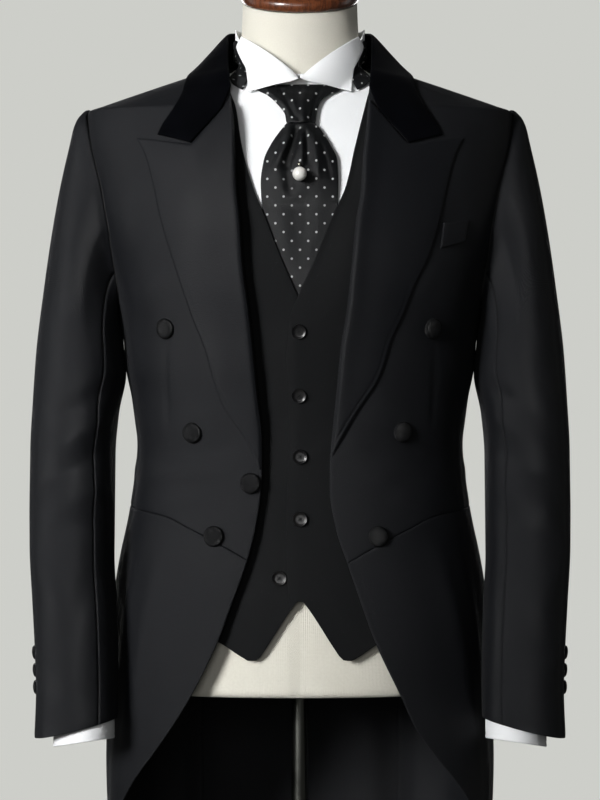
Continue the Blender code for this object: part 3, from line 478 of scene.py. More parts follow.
def new_object(name: str, points: Grid, faces: list, uvs: Optional[Grid] = None) -> bpy.types.Object:
    """A smooth mesh object in metres.

    Args:
        name: the object's name.
        points: vertices in millimetres.
        faces: faces as lists of vertex numbers.
        uvs: map coordinates of each vertex in metres.

    Returns:
        The new object, in the scene.
    """
    mesh = bpy.data.meshes.new(name)
    mesh.from_pydata((points * MM).tolist(), [], faces)
    if uvs is not None:
        layer = mesh.uv_layers.new(name="cut")
        corners = np.empty(len(mesh.loops), dtype=np.int32)
        mesh.loops.foreach_get("vertex_index", corners)
        layer.data.foreach_set("uv", uvs[corners].astype(np.float32).ravel())
    bm = bmesh.new()
    bm.from_mesh(mesh)
    bmesh.ops.recalc_face_normals(bm, faces=bm.faces)
    bm.to_mesh(mesh)
    bm.free()
    mesh.shade_smooth()
    item = bpy.data.objects.new(name, mesh)
    bpy.context.scene.collection.objects.link(item)
    return item


def quads(rows: int, columns: int, closed: bool) -> list[list[int]]:
    """Faces between the neighbours of a grid whose points are numbered row by row.

    Args:
        rows: number of rows.
        columns: number of columns.
        closed: whether the last column meets the first.

    Returns:
        Four point numbers for each face.
    """
    faces = []
    for low in range(0, (rows - 1) * columns, columns):
        for j in range(columns if closed else columns - 1):
            k = (j + 1) % columns
            faces.append([low + j, low + k, low + columns + k, low + columns + j])
    return faces


def cloth_wall(
    name: str,
    outer: Grid,
    cloth: float,
    normals: Optional[Grid] = None,
    closed: bool = False,
    edge: Edge = Edge.TURNED,
    uvs: Optional[Grid] = None,
    away_from: Optional[Vector] = None,
) -> bpy.types.Object:
    """A thin closed wall of cloth behind a grid of outer points, with rounded free edges.

    Args:
        name: the object's name.
        outer: the grid of outer points in millimetres.
        cloth: the wall's thickness.
        normals: outward directions, worked out from the grid where not given.
        closed: whether the last column meets the first.
        edge: the form of the free edges.
        uvs: map coordinates in metres, worked out from the grid's lengths where not given.
        away_from: the point that worked-out normals turn away from.

    Returns:
        The new object.
    """
    rows, columns = outer.shape[:2]
    if normals is None:
        normals = grid_normals(outer, closed, away_from or Vector(outer.reshape(-1, 3).mean(axis=0)))
    inner = outer - normals * cloth
    if uvs is None:
        uvs = np.stack([lengths(outer, 1), lengths(outer, 0)], axis=-1) * MM
    border = [(0, j) for j in range(columns)]
    if closed:
        loops = [border, [(rows - 1, j) for j in range(columns)]]
    else:
        border += [(i, columns - 1) for i in range(1, rows)]
        border += [(rows - 1, j) for j in range(columns - 2, -1, -1)]
        border += [(i, 0) for i in range(rows - 2, 0, -1)]
        loops = [border]
    points = [outer.reshape(-1, 3), inner.reshape(-1, 3)]
    maps = [uvs.reshape(-1, 2), uvs.reshape(-1, 2)]
    far = np.arange(rows * columns).reshape(rows, columns)
    near = far + rows * columns
    faces = quads(rows, columns, closed)
    faces += [[near.flat[n] for n in (a, d, c, b)] for a, b, c, d in faces]
    start = 2 * rows * columns
    for loop in loops:
        index = np.array(loop)
        middle = (outer[index[:, 0], index[:, 1]] + inner[index[:, 0], index[:, 1]]) / 2
        inside_i = np.clip(index[:, 0], 1, rows - 2)
        inside_j = index[:, 1] if closed else np.clip(index[:, 1], 1, columns - 2)
        inside = (outer[inside_i, inside_j] + inner[inside_i, inside_j]) / 2
        middle = middle + unit(middle - inside) * cloth * edge.value
        points.append(middle)
        maps.append(uvs[index[:, 0], index[:, 1]])
        count = len(loop)
        for n in range(count):
            m = (n + 1) % count
            a, b = far[tuple(loop[n])], far[tuple(loop[m])]
            c, d = near[tuple(loop[n])], near[tuple(loop[m])]
            faces.append([a, b, start + m, start + n])
            faces.append([start + n, start + m, d, c])
        start += count
    whole = [[int(n) for n in face] for face in faces]
    return new_object(name, np.concatenate(points), whole, np.concatenate(maps))


def turned(
    name: str, profile: Sequence[Pair], sides: int, place: Matrix = Matrix.Identity(4)
) -> bpy.types.Object:
    """A closed solid turned about its own Z.

    Args:
        name: the object's name.
        profile: radius and height of each ring in millimetres, from the bottom.
        sides: number of sides.
        place: where it goes, in millimetres.

    Returns:
        The new object.
    """
    angles = np.linspace(0, 2 * math.pi, sides, endpoint=False)
    rings = [[(r * math.cos(a), r * math.sin(a), h) for a in angles] for r, h in profile]
    points = np.array([place @ Vector(p) for ring in rings for p in ring])
    faces = quads(len(profile), sides, True)
    faces.append(list(range(sides)))
    faces.append([(len(profile) - 1) * sides + j for j in range(sides)])
    reach = np.repeat([h for _, h in profile], sides)
    uvs = np.stack([np.tile(angles, len(profile)) / (2 * math.pi), reach * MM], axis=-1)
    item = new_object(name, points, faces, uvs)
    item.data.set_sharp_from_angle(angle=math.radians(50))
    return item


def stand_up(point: Vector, direction: Vector) -> Matrix:
    """A placement at a point with Z along a direction."""
    return Matrix.Translation(point) @ direction.to_track_quat("Z", "Y").to_matrix().to_4x4()


def dress(
    item: bpy.types.Object, material: bpy.types.Material, slot: str, *nodes: str
) -> bpy.types.Object:
    """Gives a piece its finish, hangs it under the root and hides the nodes that it stands for.

    Args:
        item: the piece.
        material: its finish.
        slot: the record's material slot; not used.
        nodes: the nodes that it replaces.

    Returns:
        The same piece.
    """
    item.data.materials.clear()
    item.data.materials.append(material)
    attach(item, "root")
    if nodes:
        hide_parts(*nodes)
    LOG.info("%s: %d faces", item.name, len(item.data.polygons))
    return item


class Graph:
    """Short ways to build a node tree."""

    def __init__(self, tree: bpy.types.NodeTree) -> None:
        """Keeps the tree that nodes are added to."""
        self.tree = tree

    def add(self, kind: str, **settings: object) -> bpy.types.Node:
        """A new node with its settings.

        Args:
            kind: the node's type.
            **settings: its properties and their values.

        Returns:
            The new node.
        """
        node = self.tree.nodes.new(kind)
        for key, value in settings.items():
            setattr(node, key, value)
        return node

    def feed(self, socket: bpy.types.NodeSocket, value: object) -> None:
        """Links a socket into another, or sets a constant on it.

        Args:
            socket: the input to feed.
            value: a socket or a constant.
        """
        if isinstance(value, bpy.types.NodeSocket):
            self.tree.links.new(value, socket)
        else:
            socket.default_value = value

    def math(self, operation: str, *values: object) -> bpy.types.NodeSocket:
        """The result of a math node.

        Args:
            operation: the node's operation.
            *values: its inputs in order.

        Returns:
            The node's output.
        """
        node = self.add("ShaderNodeMath", operation=operation)
        for socket, value in zip(node.inputs, values):
            self.feed(socket, value)
        return node.outputs[0]

    def blend(self, share: object, start: object, end: object) -> bpy.types.NodeSocket:
        """A colour between two colours.

        Args:
            share: place between the two ends.
            start: the first end.
            end: the second end.

        Returns:
            The blended colour.
        """
        node = self.add("ShaderNodeMix", data_type="RGBA")
        for name, value in (("Factor", share), ("A", start), ("B", end)):
            sockets = [s for s in node.inputs if s.name == name and s.enabled]
            self.feed(sockets[0], value)
        return [s for s in node.outputs if s.enabled][0]

    def ramp(
        self, value: object, low: object, high: object, to_low: float, to_high: float
    ) -> bpy.types.NodeSocket:
        """A value mapped from one range to another, clamped.

        Args:
            value: a socket or a constant.
            low: lower end of the range.
            high: upper end of the range.
            to_low: result at the lower end.
            to_high: result at the upper end.

        Returns:
            The mapped value.
        """
        node = self.add("ShaderNodeMapRange", interpolation_type="SMOOTHSTEP")
        for index, item in enumerate((value, low, high, to_low, to_high)):
            self.feed(node.inputs[index], item)
        return node.outputs[0]

    def noise(self, vector: object, scale: object, detail: float = 2.0) -> bpy.types.NodeSocket:
        """A noise value.

        Args:
            vector: where the noise is read.
            scale: how fine it is.
            detail: number of finer layers.

        Returns:
            The noise's value.
        """
        node = self.add("ShaderNodeTexNoise")
        self.fill(node, {"Vector": vector, "Scale": scale, "Detail": detail})
        return node.outputs[0]

    def fill(self, node: bpy.types.Node, values: dict[str, object]) -> None:
        """Feeds several inputs of a node by their names."""
        for name, value in values.items():
            self.feed(node.inputs[name], value)

    def group(self, tree: bpy.types.NodeTree, **values: object) -> bpy.types.Node:
        """A node of a group with its inputs fed.

        Args:
            tree: the group's tree.
            **values: its inputs by name.

        Returns:
            The new node.
        """
        node = self.add("ShaderNodeGroup")
        node.node_tree = tree
        self.fill(node, values)
        return node


def new_group(
    name: str, inputs: dict[str, float], outputs: Sequence[str]
) -> tuple[bpy.types.NodeTree, Graph, dict[str, bpy.types.NodeSocket], bpy.types.Node]:
    """A shader node group with a vector input, number inputs and number outputs.

    Args:
        name: the group's name.
        inputs: number inputs and their first values.
        outputs: names of the number outputs.

    Returns:
        The tree, its graph, its inputs by name, and its output node.
    """
    tree = bpy.data.node_groups.new(name, "ShaderNodeTree")
    tree.interface.new_socket("Vector", in_out="INPUT", socket_type="NodeSocketVector")
    for key, value in inputs.items():
        made = tree.interface.new_socket(key, in_out="INPUT", socket_type="NodeSocketFloat")
        made.default_value = value
    for key in outputs:
        tree.interface.new_socket(key, in_out="OUTPUT", socket_type="NodeSocketFloat")
    graph = Graph(tree)
    given = graph.add("NodeGroupInput")
    result = graph.add("NodeGroupOutput")
    return tree, graph, {s.name: s for s in given.outputs}, result


@lru_cache(maxsize=None)
def weave_group() -> bpy.types.NodeTree:
    """Diagonal or plain weave with slubs: height of the threads and a mottled tone.

    Returns:
        The group's tree.
    """
    tree, g, given, result = new_group("weave", {"Pitch": 0.001, "Diagonal": 1.0}, ("Height", "Tone"))
    parts = g.add("ShaderNodeSeparateXYZ")
    g.feed(parts.inputs[0], given["Vector"])
    turn = g.math("DIVIDE", 2 * math.pi, given["Pitch"])
    lean = g.math("MULTIPLY_ADD", parts.outputs[1], given["Diagonal"], parts.outputs[0])
    ribs = g.math("SINE", g.math("MULTIPLY", lean, turn))
    cross = g.math("SINE", g.math("MULTIPLY", g.math("SUBTRACT", parts.outputs[1], parts.outputs[0]), turn))
    threads = g.math("MULTIPLY_ADD", g.math("MULTIPLY", ribs, cross), 0.35, g.math("MULTIPLY", ribs, 0.4))
    slub = g.noise(given["Vector"], g.math("DIVIDE", 0.55, given["Pitch"]), 3.0)
    g.feed(result.inputs["Height"], g.math("ADD", threads, g.math("MULTIPLY", slub, 1.2)))
    g.feed(result.inputs["Tone"], g.math("MULTIPLY_ADD", threads, 0.12, slub))
    return tree


@lru_cache(maxsize=None)
def cloud_group() -> bpy.types.NodeTree:
    """Broad soft variation, as from pressing and handling, and fine lint.

    Returns:
        The group's tree.
    """
    tree, g, given, result = new_group("cloud", {"Size": 0.08}, ("Tone", "Lint"))
    scale = g.math("DIVIDE", 1.0, given["Size"])
    broad = g.noise(given["Vector"], scale, 3.0)
    g.feed(result.inputs["Tone"], g.ramp(broad, 0.3, 0.7, 0.0, 1.0))
    fine = g.noise(given["Vector"], g.math("MULTIPLY", scale, 60.0), 1.0)
    g.feed(result.inputs["Lint"], g.ramp(fine, 0.69, 0.76, 0.0, 1.0))
    return tree


@lru_cache(maxsize=None)
def dots_group() -> bpy.types.NodeTree:
    """Small dots in rows, each second row moved along by half.

    Returns:
        The group's tree.
    """
    names = {"Across": 0.016, "Down": 0.0087, "Radius": 0.00112}
    tree, g, given, result = new_group("dots", names, ("Mask",))
    parts = g.add("ShaderNodeSeparateXYZ")
    g.feed(parts.inputs[0], given["Vector"])
    row = g.math("DIVIDE", parts.outputs[1], given["Down"])
    number = g.math("FLOOR", row)
    shift = g.math("MULTIPLY", g.math("FLOORED_MODULO", number, 2.0), 0.5)
    place = g.math("ADD", g.math("DIVIDE", parts.outputs[0], given["Across"]), shift)
    dx = g.math("MULTIPLY", g.math("SUBTRACT", g.math("FRACT", place), 0.5), given["Across"])
    dy = g.math("MULTIPLY", g.math("SUBTRACT", g.math("FRACT", row), 0.5), given["Down"])
    away = g.math("SQRT", g.math("MULTIPLY_ADD", dx, dx, g.math("MULTIPLY", dy, dy)))
    soft = g.math("MULTIPLY", given["Radius"], 1.25)
    g.feed(result.inputs["Mask"], g.ramp(away, g.math("MULTIPLY", given["Radius"], 0.7), soft, 1.0, 0.0))
    return tree


@lru_cache(maxsize=None)
def grain_group() -> bpy.types.NodeTree:
    """Turned wood: rings drawn out along the grain, and pores.

    Returns:
        The group's tree.
    """
    tree, g, given, result = new_group("grain", {"Size": 0.012}, ("Tone", "Height"))
    stretch = g.add("ShaderNodeMapping")
    g.fill(stretch, {"Vector": given["Vector"], "Scale": (1.0, 1.0, 0.18), "Rotation": (0.5, 0.9, 0.0)})
    scale = g.math("DIVIDE", 1.0, given["Size"])
    warp = g.noise(stretch.outputs[0], scale, 4.0)
    rings = g.math("SINE", g.math("MULTIPLY", warp, 42.0))
    pores = g.noise(stretch.outputs[0], g.math("MULTIPLY", scale, 22.0), 2.0)
    g.feed(result.inputs["Tone"], g.math("MULTIPLY_ADD", rings, 0.35, g.math("MULTIPLY", warp, 1.1)))
    g.feed(result.inputs["Height"], pores)
    return tree


def new_material(name: str) -> tuple[bpy.types.Material, Graph, bpy.types.Node]:
    """A material with its graph and its Principled shader.

    Args:
        name: its name.

    Returns:
        The material, its graph and its shader.
    """
    material = bpy.data.materials.new(name)
    material.use_nodes = True
    return material, Graph(material.node_tree), material.node_tree.nodes["Principled BSDF"]


def bump(g: Graph, shader: bpy.types.Node, height: object, strength: float, depth: float) -> None:
    """Feeds a height into the shader's normal.

    Args:
        g: the material's graph.
        shader: its Principled shader.
        height: the height that moves the normal.
        strength: share of the bump that shows.
        depth: real depth of the relief, in metres.
    """
    node = g.add("ShaderNodeBump")
    g.fill(node, {"Strength": strength, "Distance": depth, "Height": height})
    g.feed(shader.inputs["Normal"], node.outputs[0])


@dataclass(frozen=True)
class ClothFinish:
    """A woven cloth: two tones, roughness, sheen, and its weave."""

    name: str
    dark: Colour
    light: Colour
    lint: Colour
    roughness: float
    sheen: float
    sheen_rough: float
    specular: float
    pitch: float
    diagonal: float
    relief: float
    patch: float = 0.08
    dot: Optional[Colour] = None
    cloud_share: float = 0.35
    weave_share: float = 0.7
    lint_share: float = 0.12
    dot_relief: float = 0.8
    rough_spread: Pair = (-0.05, 0.04)
    grazing: Pair = (0.45, 0.85)
    grazing_rough: Pair = (0.4, 0.96)
    relief_share: float = 0.5

    def make(self) -> bpy.types.Material:
        """Builds the material.

        Returns:
            The finished material.
        """
        material, g, shader = new_material(self.name)
        cut = g.add("ShaderNodeUVMap", uv_map="cut").outputs[0]
        place = g.add("ShaderNodeTexCoord").outputs["Object"]
        weave = g.group(weave_group(), Vector=cut, Pitch=self.pitch, Diagonal=self.diagonal)
        cloud = g.group(cloud_group(), Vector=place, Size=self.patch)
        threads = g.math("MULTIPLY", weave.outputs["Tone"], self.weave_share)
        tone = g.math("MULTIPLY_ADD", cloud.outputs["Tone"], self.cloud_share, threads)
        colour = g.blend(tone, self.dark, self.light)
        colour = g.blend(g.math("MULTIPLY", cloud.outputs["Lint"], self.lint_share), colour, self.lint)
        height = weave.outputs["Height"]
        if self.dot:
            mask = g.group(dots_group(), Vector=cut).outputs["Mask"]
            colour = g.blend(mask, colour, self.dot)
            height = g.math("MULTIPLY_ADD", mask, self.dot_relief, height)
            # Painted shade: the silk is blended towards its dark tone by a per-vertex attribute of how deep
            # each pleat sinks, standing in for the shadow inside the folds.
            pleat_shade = g.add("ShaderNodeAttribute", attribute_name="pleat_shade").outputs["Fac"]
            colour = g.blend(pleat_shade, colour, self.dark)
        g.feed(shader.inputs["Base Color"], colour)
        smooth, coarse = (self.roughness + step for step in self.rough_spread)
        rough = g.ramp(cloud.outputs["Tone"], 0.0, 1.0, smooth, coarse)
        turned_away = g.add("ShaderNodeLayerWeight").outputs["Facing"]
        matt = g.ramp(turned_away, *self.grazing, *self.grazing_rough)
        g.fill(shader, {
            "Roughness": g.math("MAXIMUM", rough, matt),
            "Sheen Weight": self.sheen,
            "Sheen Roughness": self.sheen_rough,
            "Specular IOR Level": self.specular,
        })
        bump(g, shader, height, self.relief_share, self.relief)
        return material


@dataclass(frozen=True)
class VelvetFinish:
    """A cut pile: deep black that lights up where it turns away, with brushed patches."""

    name: str
    pile: Colour
    brushed: Colour
    patch: float = 0.022
    nap_scale: float = 1400.0
    roughness: float = 0.95
    sheen: float = 0.02
    sheen_rough: float = 0.35
    specular: float = 0.03
    relief: float = 0.0006

    def make(self) -> bpy.types.Material:
        """Builds the material.

        Returns:
            The finished material.
        """
        material, g, shader = new_material(self.name)
        place = g.add("ShaderNodeTexCoord").outputs["Object"]
        cloud = g.group(cloud_group(), Vector=place, Size=self.patch)
        nap = g.noise(place, self.nap_scale)
        tone = g.math("MULTIPLY_ADD", cloud.outputs["Tone"], 0.6, g.math("MULTIPLY", nap, 0.4))
        g.fill(shader, {
            "Base Color": g.blend(tone, self.pile, self.brushed),
            "Roughness": self.roughness,
            "Sheen Weight": self.sheen,
            "Sheen Roughness": self.sheen_rough,
            "Specular IOR Level": self.specular,
        })
        bump(g, shader, nap, 0.6, self.relief)
        return material


@dataclass(frozen=True)
class WoodFinish:
    """Turned and polished wood."""

    name: str
    dark: Colour
    light: Colour
    roughness: Pair = (0.26, 0.4)
    polish: float = 0.5
    polish_rough: float = 0.15
    relief: float = 0.0003

    def make(self) -> bpy.types.Material:
        """Builds the material.

        Returns:
            The finished material.
        """
        material, g, shader = new_material(self.name)
        place = g.add("ShaderNodeTexCoord").outputs["Object"]
        grain = g.group(grain_group(), Vector=place)
        g.fill(shader, {
            "Base Color": g.blend(grain.outputs["Tone"], self.dark, self.light),
            "Roughness": g.ramp(grain.outputs["Height"], 0.3, 0.7, *self.roughness),
            "Coat Weight": self.polish,
            "Coat Roughness": self.polish_rough,
        })
        bump(g, shader, grain.outputs["Height"], 0.25, self.relief)
        return material


@dataclass(frozen=True)
class HardFinish:
    """A hard finish such as chrome, horn or pearl, with a faint bloom."""

    name: str
    colour: Colour
    bloom: Colour
    roughness: float
    metallic: float
    coat: float = 0.0
    patch: float = 0.02
    worn: float = 1.35
    relief: float = 0.0002

    def make(self) -> bpy.types.Material:
        """Builds the material.

        Returns:
            The finished material.
        """
        material, g, shader = new_material(self.name)
        place = g.add("ShaderNodeTexCoord").outputs["Object"]
        cloud = g.group(cloud_group(), Vector=place, Size=self.patch)
        worn = self.roughness * self.worn
        g.fill(shader, {
            "Base Color": g.blend(cloud.outputs["Tone"], self.colour, self.bloom),
            "Roughness": g.ramp(cloud.outputs["Tone"], 0.0, 1.0, self.roughness, worn),
            "Metallic": self.metallic,
            "Coat Weight": self.coat,
        })
        bump(g, shader, cloud.outputs["Lint"], 0.04, self.relief)
        return material


class Finishes:
    """Every finish of the suit and its stand, built once."""

    def __init__(self) -> None:
        """Builds the materials."""
        grey = srgb(90, 92, 98)
        coat = (0.0036, 0.0041, 0.0054, 1.0), (0.0062, 0.0068, 0.0086, 1.0), grey
        lining = (0.002, 0.002, 0.0022, 1.0), (0.004, 0.004, 0.0045, 1.0), srgb(40, 40, 42)
        vest = (0.0032, 0.0035, 0.004, 1.0), (0.0055, 0.006, 0.0066, 1.0), grey
        white = srgb(238, 240, 242), srgb(250, 251, 252), srgb(252, 252, 252)
        silk = srgb(7, 8, 9), srgb(19, 20, 22), srgb(50, 50, 52)
        cover = srgb(214, 210, 197), srgb(232, 229, 217), srgb(240, 238, 230)
        button = (0.001, 0.0011, 0.0014, 1.0), (0.0022, 0.0024, 0.003, 1.0), grey
        horn = (0.003, 0.003, 0.0035, 1.0), (0.007, 0.0065, 0.0065, 1.0)
        self.coat = ClothFinish(
            "coat_wool", *coat, roughness=0.55, sheen=0.01, sheen_rough=0.4, specular=0.235,
            pitch=0.0011, diagonal=1.0, relief=0.00045,
        ).make()
        self.lapel = ClothFinish(
            "lapel_wool", *coat, roughness=0.55, sheen=0.01, sheen_rough=0.4, specular=0.2,
            pitch=0.0011, diagonal=-1.0, relief=0.0004,
        ).make()
        self.lining = ClothFinish(
            "coat_lining", *lining, roughness=0.5, sheen=0.0, sheen_rough=0.5, specular=0.25,
            pitch=0.0008, diagonal=0.0, relief=0.0001,
        ).make()
        self.waistcoat = ClothFinish(
            "waistcoat_wool", *vest, roughness=0.7, sheen=0.02, sheen_rough=0.45, specular=0.16,
            pitch=0.0010, diagonal=1.0, relief=0.0004,
        ).make()
        self.shirt = ClothFinish(
            "shirt_cotton", *white, roughness=0.75, sheen=0.05, sheen_rough=0.5, specular=0.3,
            pitch=0.0007, diagonal=0.0, relief=0.00012,
        ).make()
        self.ascot = ClothFinish(
            "ascot_silk", *silk, roughness=0.5, sheen=0.02, sheen_rough=0.4, specular=0.22,
            pitch=0.0009, diagonal=0.0, relief=0.00025, patch=0.05, dot=srgb(182, 183, 183),
        ).make()
        self.cover = ClothFinish(
            "form_cover", *cover, roughness=0.85, sheen=0.1, sheen_rough=0.5, specular=0.2,
            pitch=0.0014, diagonal=0.0, relief=0.0004,
        ).make()
        self.button = ClothFinish(
            "covered_button", *button, roughness=0.42, sheen=0.01, sheen_rough=0.4, specular=0.26,
            pitch=0.0009, diagonal=1.0, relief=0.0003, patch=0.02,
        ).make()
        self.thread = ClothFinish(
            "thread", *button, roughness=0.7, sheen=0.05, sheen_rough=0.5, specular=0.3,
            pitch=0.0005, diagonal=0.0, relief=0.0002,
        ).make()
        pile = (0.0006, 0.0007, 0.0011, 1.0), (0.0016, 0.0018, 0.0027, 1.0)
        self.velvet = VelvetFinish("velvet", *pile).make()
        self.wood = WoodFinish("wood", srgb(66, 30, 13), srgb(112, 62, 35)).make()
        chrome = srgb(120, 121, 116), srgb(104, 105, 100)
        plate = srgb(196, 198, 198), srgb(180, 182, 182)
        gold = srgb(200, 196, 180), srgb(190, 186, 170)
        pearl = srgb(226, 225, 220), srgb(236, 228, 226)
        self.chrome = HardFinish("chrome", *chrome, roughness=0.2, metallic=1.0).make()
        self.plate = HardFinish("base_plate", *plate, roughness=0.28, metallic=1.0).make()
        self.gold = HardFinish("pin_metal", *gold, roughness=0.2, metallic=1.0).make()
        self.horn = HardFinish("horn", *horn, roughness=0.27, metallic=0.0, coat=0.1).make()
        self.pearl = HardFinish("pearl", *pearl, roughness=0.16, metallic=0.0, coat=0.8).make()


def refined(grid: Grid, along: int, across: int) -> Grid:
    """A grid of points with more rows and columns, on smooth curves through the first ones.

    Args:
        grid: points as rows, columns and three coordinates.
        along: new steps for each step between rows.
        across: new steps for each step between columns.

    Returns:
        The finer grid.
    """
    for axis, steps in ((0, along), (1, across)):
        g = np.moveaxis(grid, axis, 0)
        count = len(g)
        at = np.linspace(0, count - 1, (count - 1) * steps + 1)
        i = np.clip(at.astype(int), 0, count - 2)
        t = (at - i).reshape(-1, *[1] * (g.ndim - 1))
        a, b = g[i], g[i + 1]
        before = g[np.maximum(i - 1, 0)]
        after = g[np.minimum(i + 2, count - 1)]
        curve = 1.5 * (a - b) + (after - before) / 2
        bent = a + t * ((b - before) / 2 + t * (before - 2.5 * a + 2 * b - after / 2 + t * curve))
        grid = np.moveaxis(bent, 0, axis)
    return grid


def levels(*parts: tuple[float, float, int]) -> Grid:
    """Heights in runs, each given as its start, its end and its number of steps."""
    rows = [np.linspace(start, end, count + 1)[:-1] for start, end, count in parts]
    return np.concatenate([*rows, [parts[-1][1]]])


@dataclass
class DressForm:
    """The limbless form with its neck, turned cap, pole and base."""

    finishes: Finishes
    bottom: float = 841.0
    neck_top: float = 1541.0
    seam: float = 0.3
    inset: float = 3.5
    side_inset: float = 5.0
    tilt: float = math.tan(math.radians(18.0))
    tilt_start: float = 1492.0
    tilt_end: float = 1536.0
    pole_radius: float = 8.7
    base_radius: float = 170.0
    base_height: float = 14.0
    sides: int = 128
    foot_round: float = 8.0
    foot_inset: float = 6.0
    shoulder: float = 1420.0
    neck_foot: float = 1478.0
    seam_width: float = 1.1
    seam_depth: float = 0.5
    cap: tuple[Pair, ...] = (
        (55.0, 0.0), (57.5, 0.6), (59.2, 2.2), (60.0, 4.6), (59.9, 8.0), (59.0, 10.6), (57.4, 12.2),
        (56.6, 12.4), (56.2, 13.0), (53.0, 13.4), (50.5, 14.6), (48.4, 17.0), (46.8, 20.0),
        (44.0, 22.4), (39.0, 24.8), (32.0, 27.2), (24.0, 29.4), (16.0, 30.8), (8.0, 31.7), (2.0, 32.0),
    )

    def build(self) -> None:
        """Builds every piece of the stand."""
        self.build_torso()
        self.build_cap()
        self.build_stand()

    def build_torso(self) -> None:
        """The torso and neck, with a rounded foot and a sewn line down the back."""
        foot_top = self.bottom + self.foot_round
        heights = levels(
            (self.bottom, foot_top, 8),
            (foot_top, self.shoulder, 74),
            (self.shoulder, self.neck_foot, 26),
            (self.neck_foot, self.neck_top, 22),
        )
        angles = np.linspace(0, 360, self.sides, endpoint=False)
        z, angle = np.meshgrid(heights, angles, indexing="ij")
        sideways = np.abs(np.sin(np.radians(angle))) * ease((z - 1170) / 60)
        inset = (self.inset + self.side_inset * sideways) * (1 - ease((z - 1430) / 48))
        seam = bell(FORM.point(z, angle)[..., 0], self.seam_width) * self.seam_depth
        seam = seam * (np.cos(np.radians(angle)) < 0)
        foot = self.foot_inset * (1 - np.sqrt(np.clip(1 - ((foot_top - z) / 8.2).clip(0, 1) ** 2, 0, 1)))
        points = FORM.out(z, angle, -inset - seam - foot)
        points[..., 2] = z
        lean = self.tilt * ease((z - self.tilt_start) / (self.tilt_end - self.tilt_start))
        points[..., 2] += points[..., 1] * lean
        rows, columns = z.shape
        faces = quads(rows, columns, True)
        faces += [list(range(columns)), list(range((rows - 1) * columns, rows * columns))]
        uvs = np.stack([np.radians(angle) * 0.15, z * MM], axis=-1).reshape(-1, 2)
        item = new_object("form_body", points.reshape(-1, 3), faces, uvs)
        item.data.set_sharp_from_angle(angle=math.radians(60))
        dress(item, self.finishes.cover, "form_cover", "form_torso")

    def build_cap(self) -> None:
        """The turned wooden cap, with its bead, cove and dome."""
        top = Vector((0, 0, self.neck_top + self.seam))
        up = Vector((0, -self.tilt, 1)).normalized()
        item = turned("turned_cap", self.cap, 96, stand_up(top, up))
        dress(item, self.finishes.wood, "wood", "neck_cap")

    def build_stand(self) -> None:
        """The pole with its collar under the form, and the round plate."""
        low, high = self.base_height + self.seam, self.bottom - self.seam
        r = self.pole_radius
        pole = [(r + 7, low), (r + 7.6, low + 1), (r + 7.6, low + 12), (r + 5, low + 16), (r, low + 18)]
        pole += [(r, 420.0), (r, high - 9), (r + 3.4, high - 8.4), (r + 4, high - 7), (r + 4, high)]
        item = turned("chrome_pole", pole, 48)
        dress(item, self.finishes.chrome, "chrome", "stand_pole")
        edge = self.base_radius
        base = [(edge - 2, 0.0), (edge - 0.6, 0.6), (edge, 2.0), (edge, 7.0), (edge - 0.7, 9.4)]
        base += [(edge - 2.4, 11.0), (edge - 8, 12.0), (edge - 60, 13.0), (20.0, 13.9), (2.0, 14.0)]
        item = turned("base_plate", base, 128)
        dress(item, self.finishes.plate, "chrome", "stand_base")


# Share down the wing, then how far its rear edge bulges out.
WING_REAR = Table(((0.0, 2.0), (0.17, 8.0), (0.4, 4.5), (0.6, 0.3), (1.0, 0.0)))


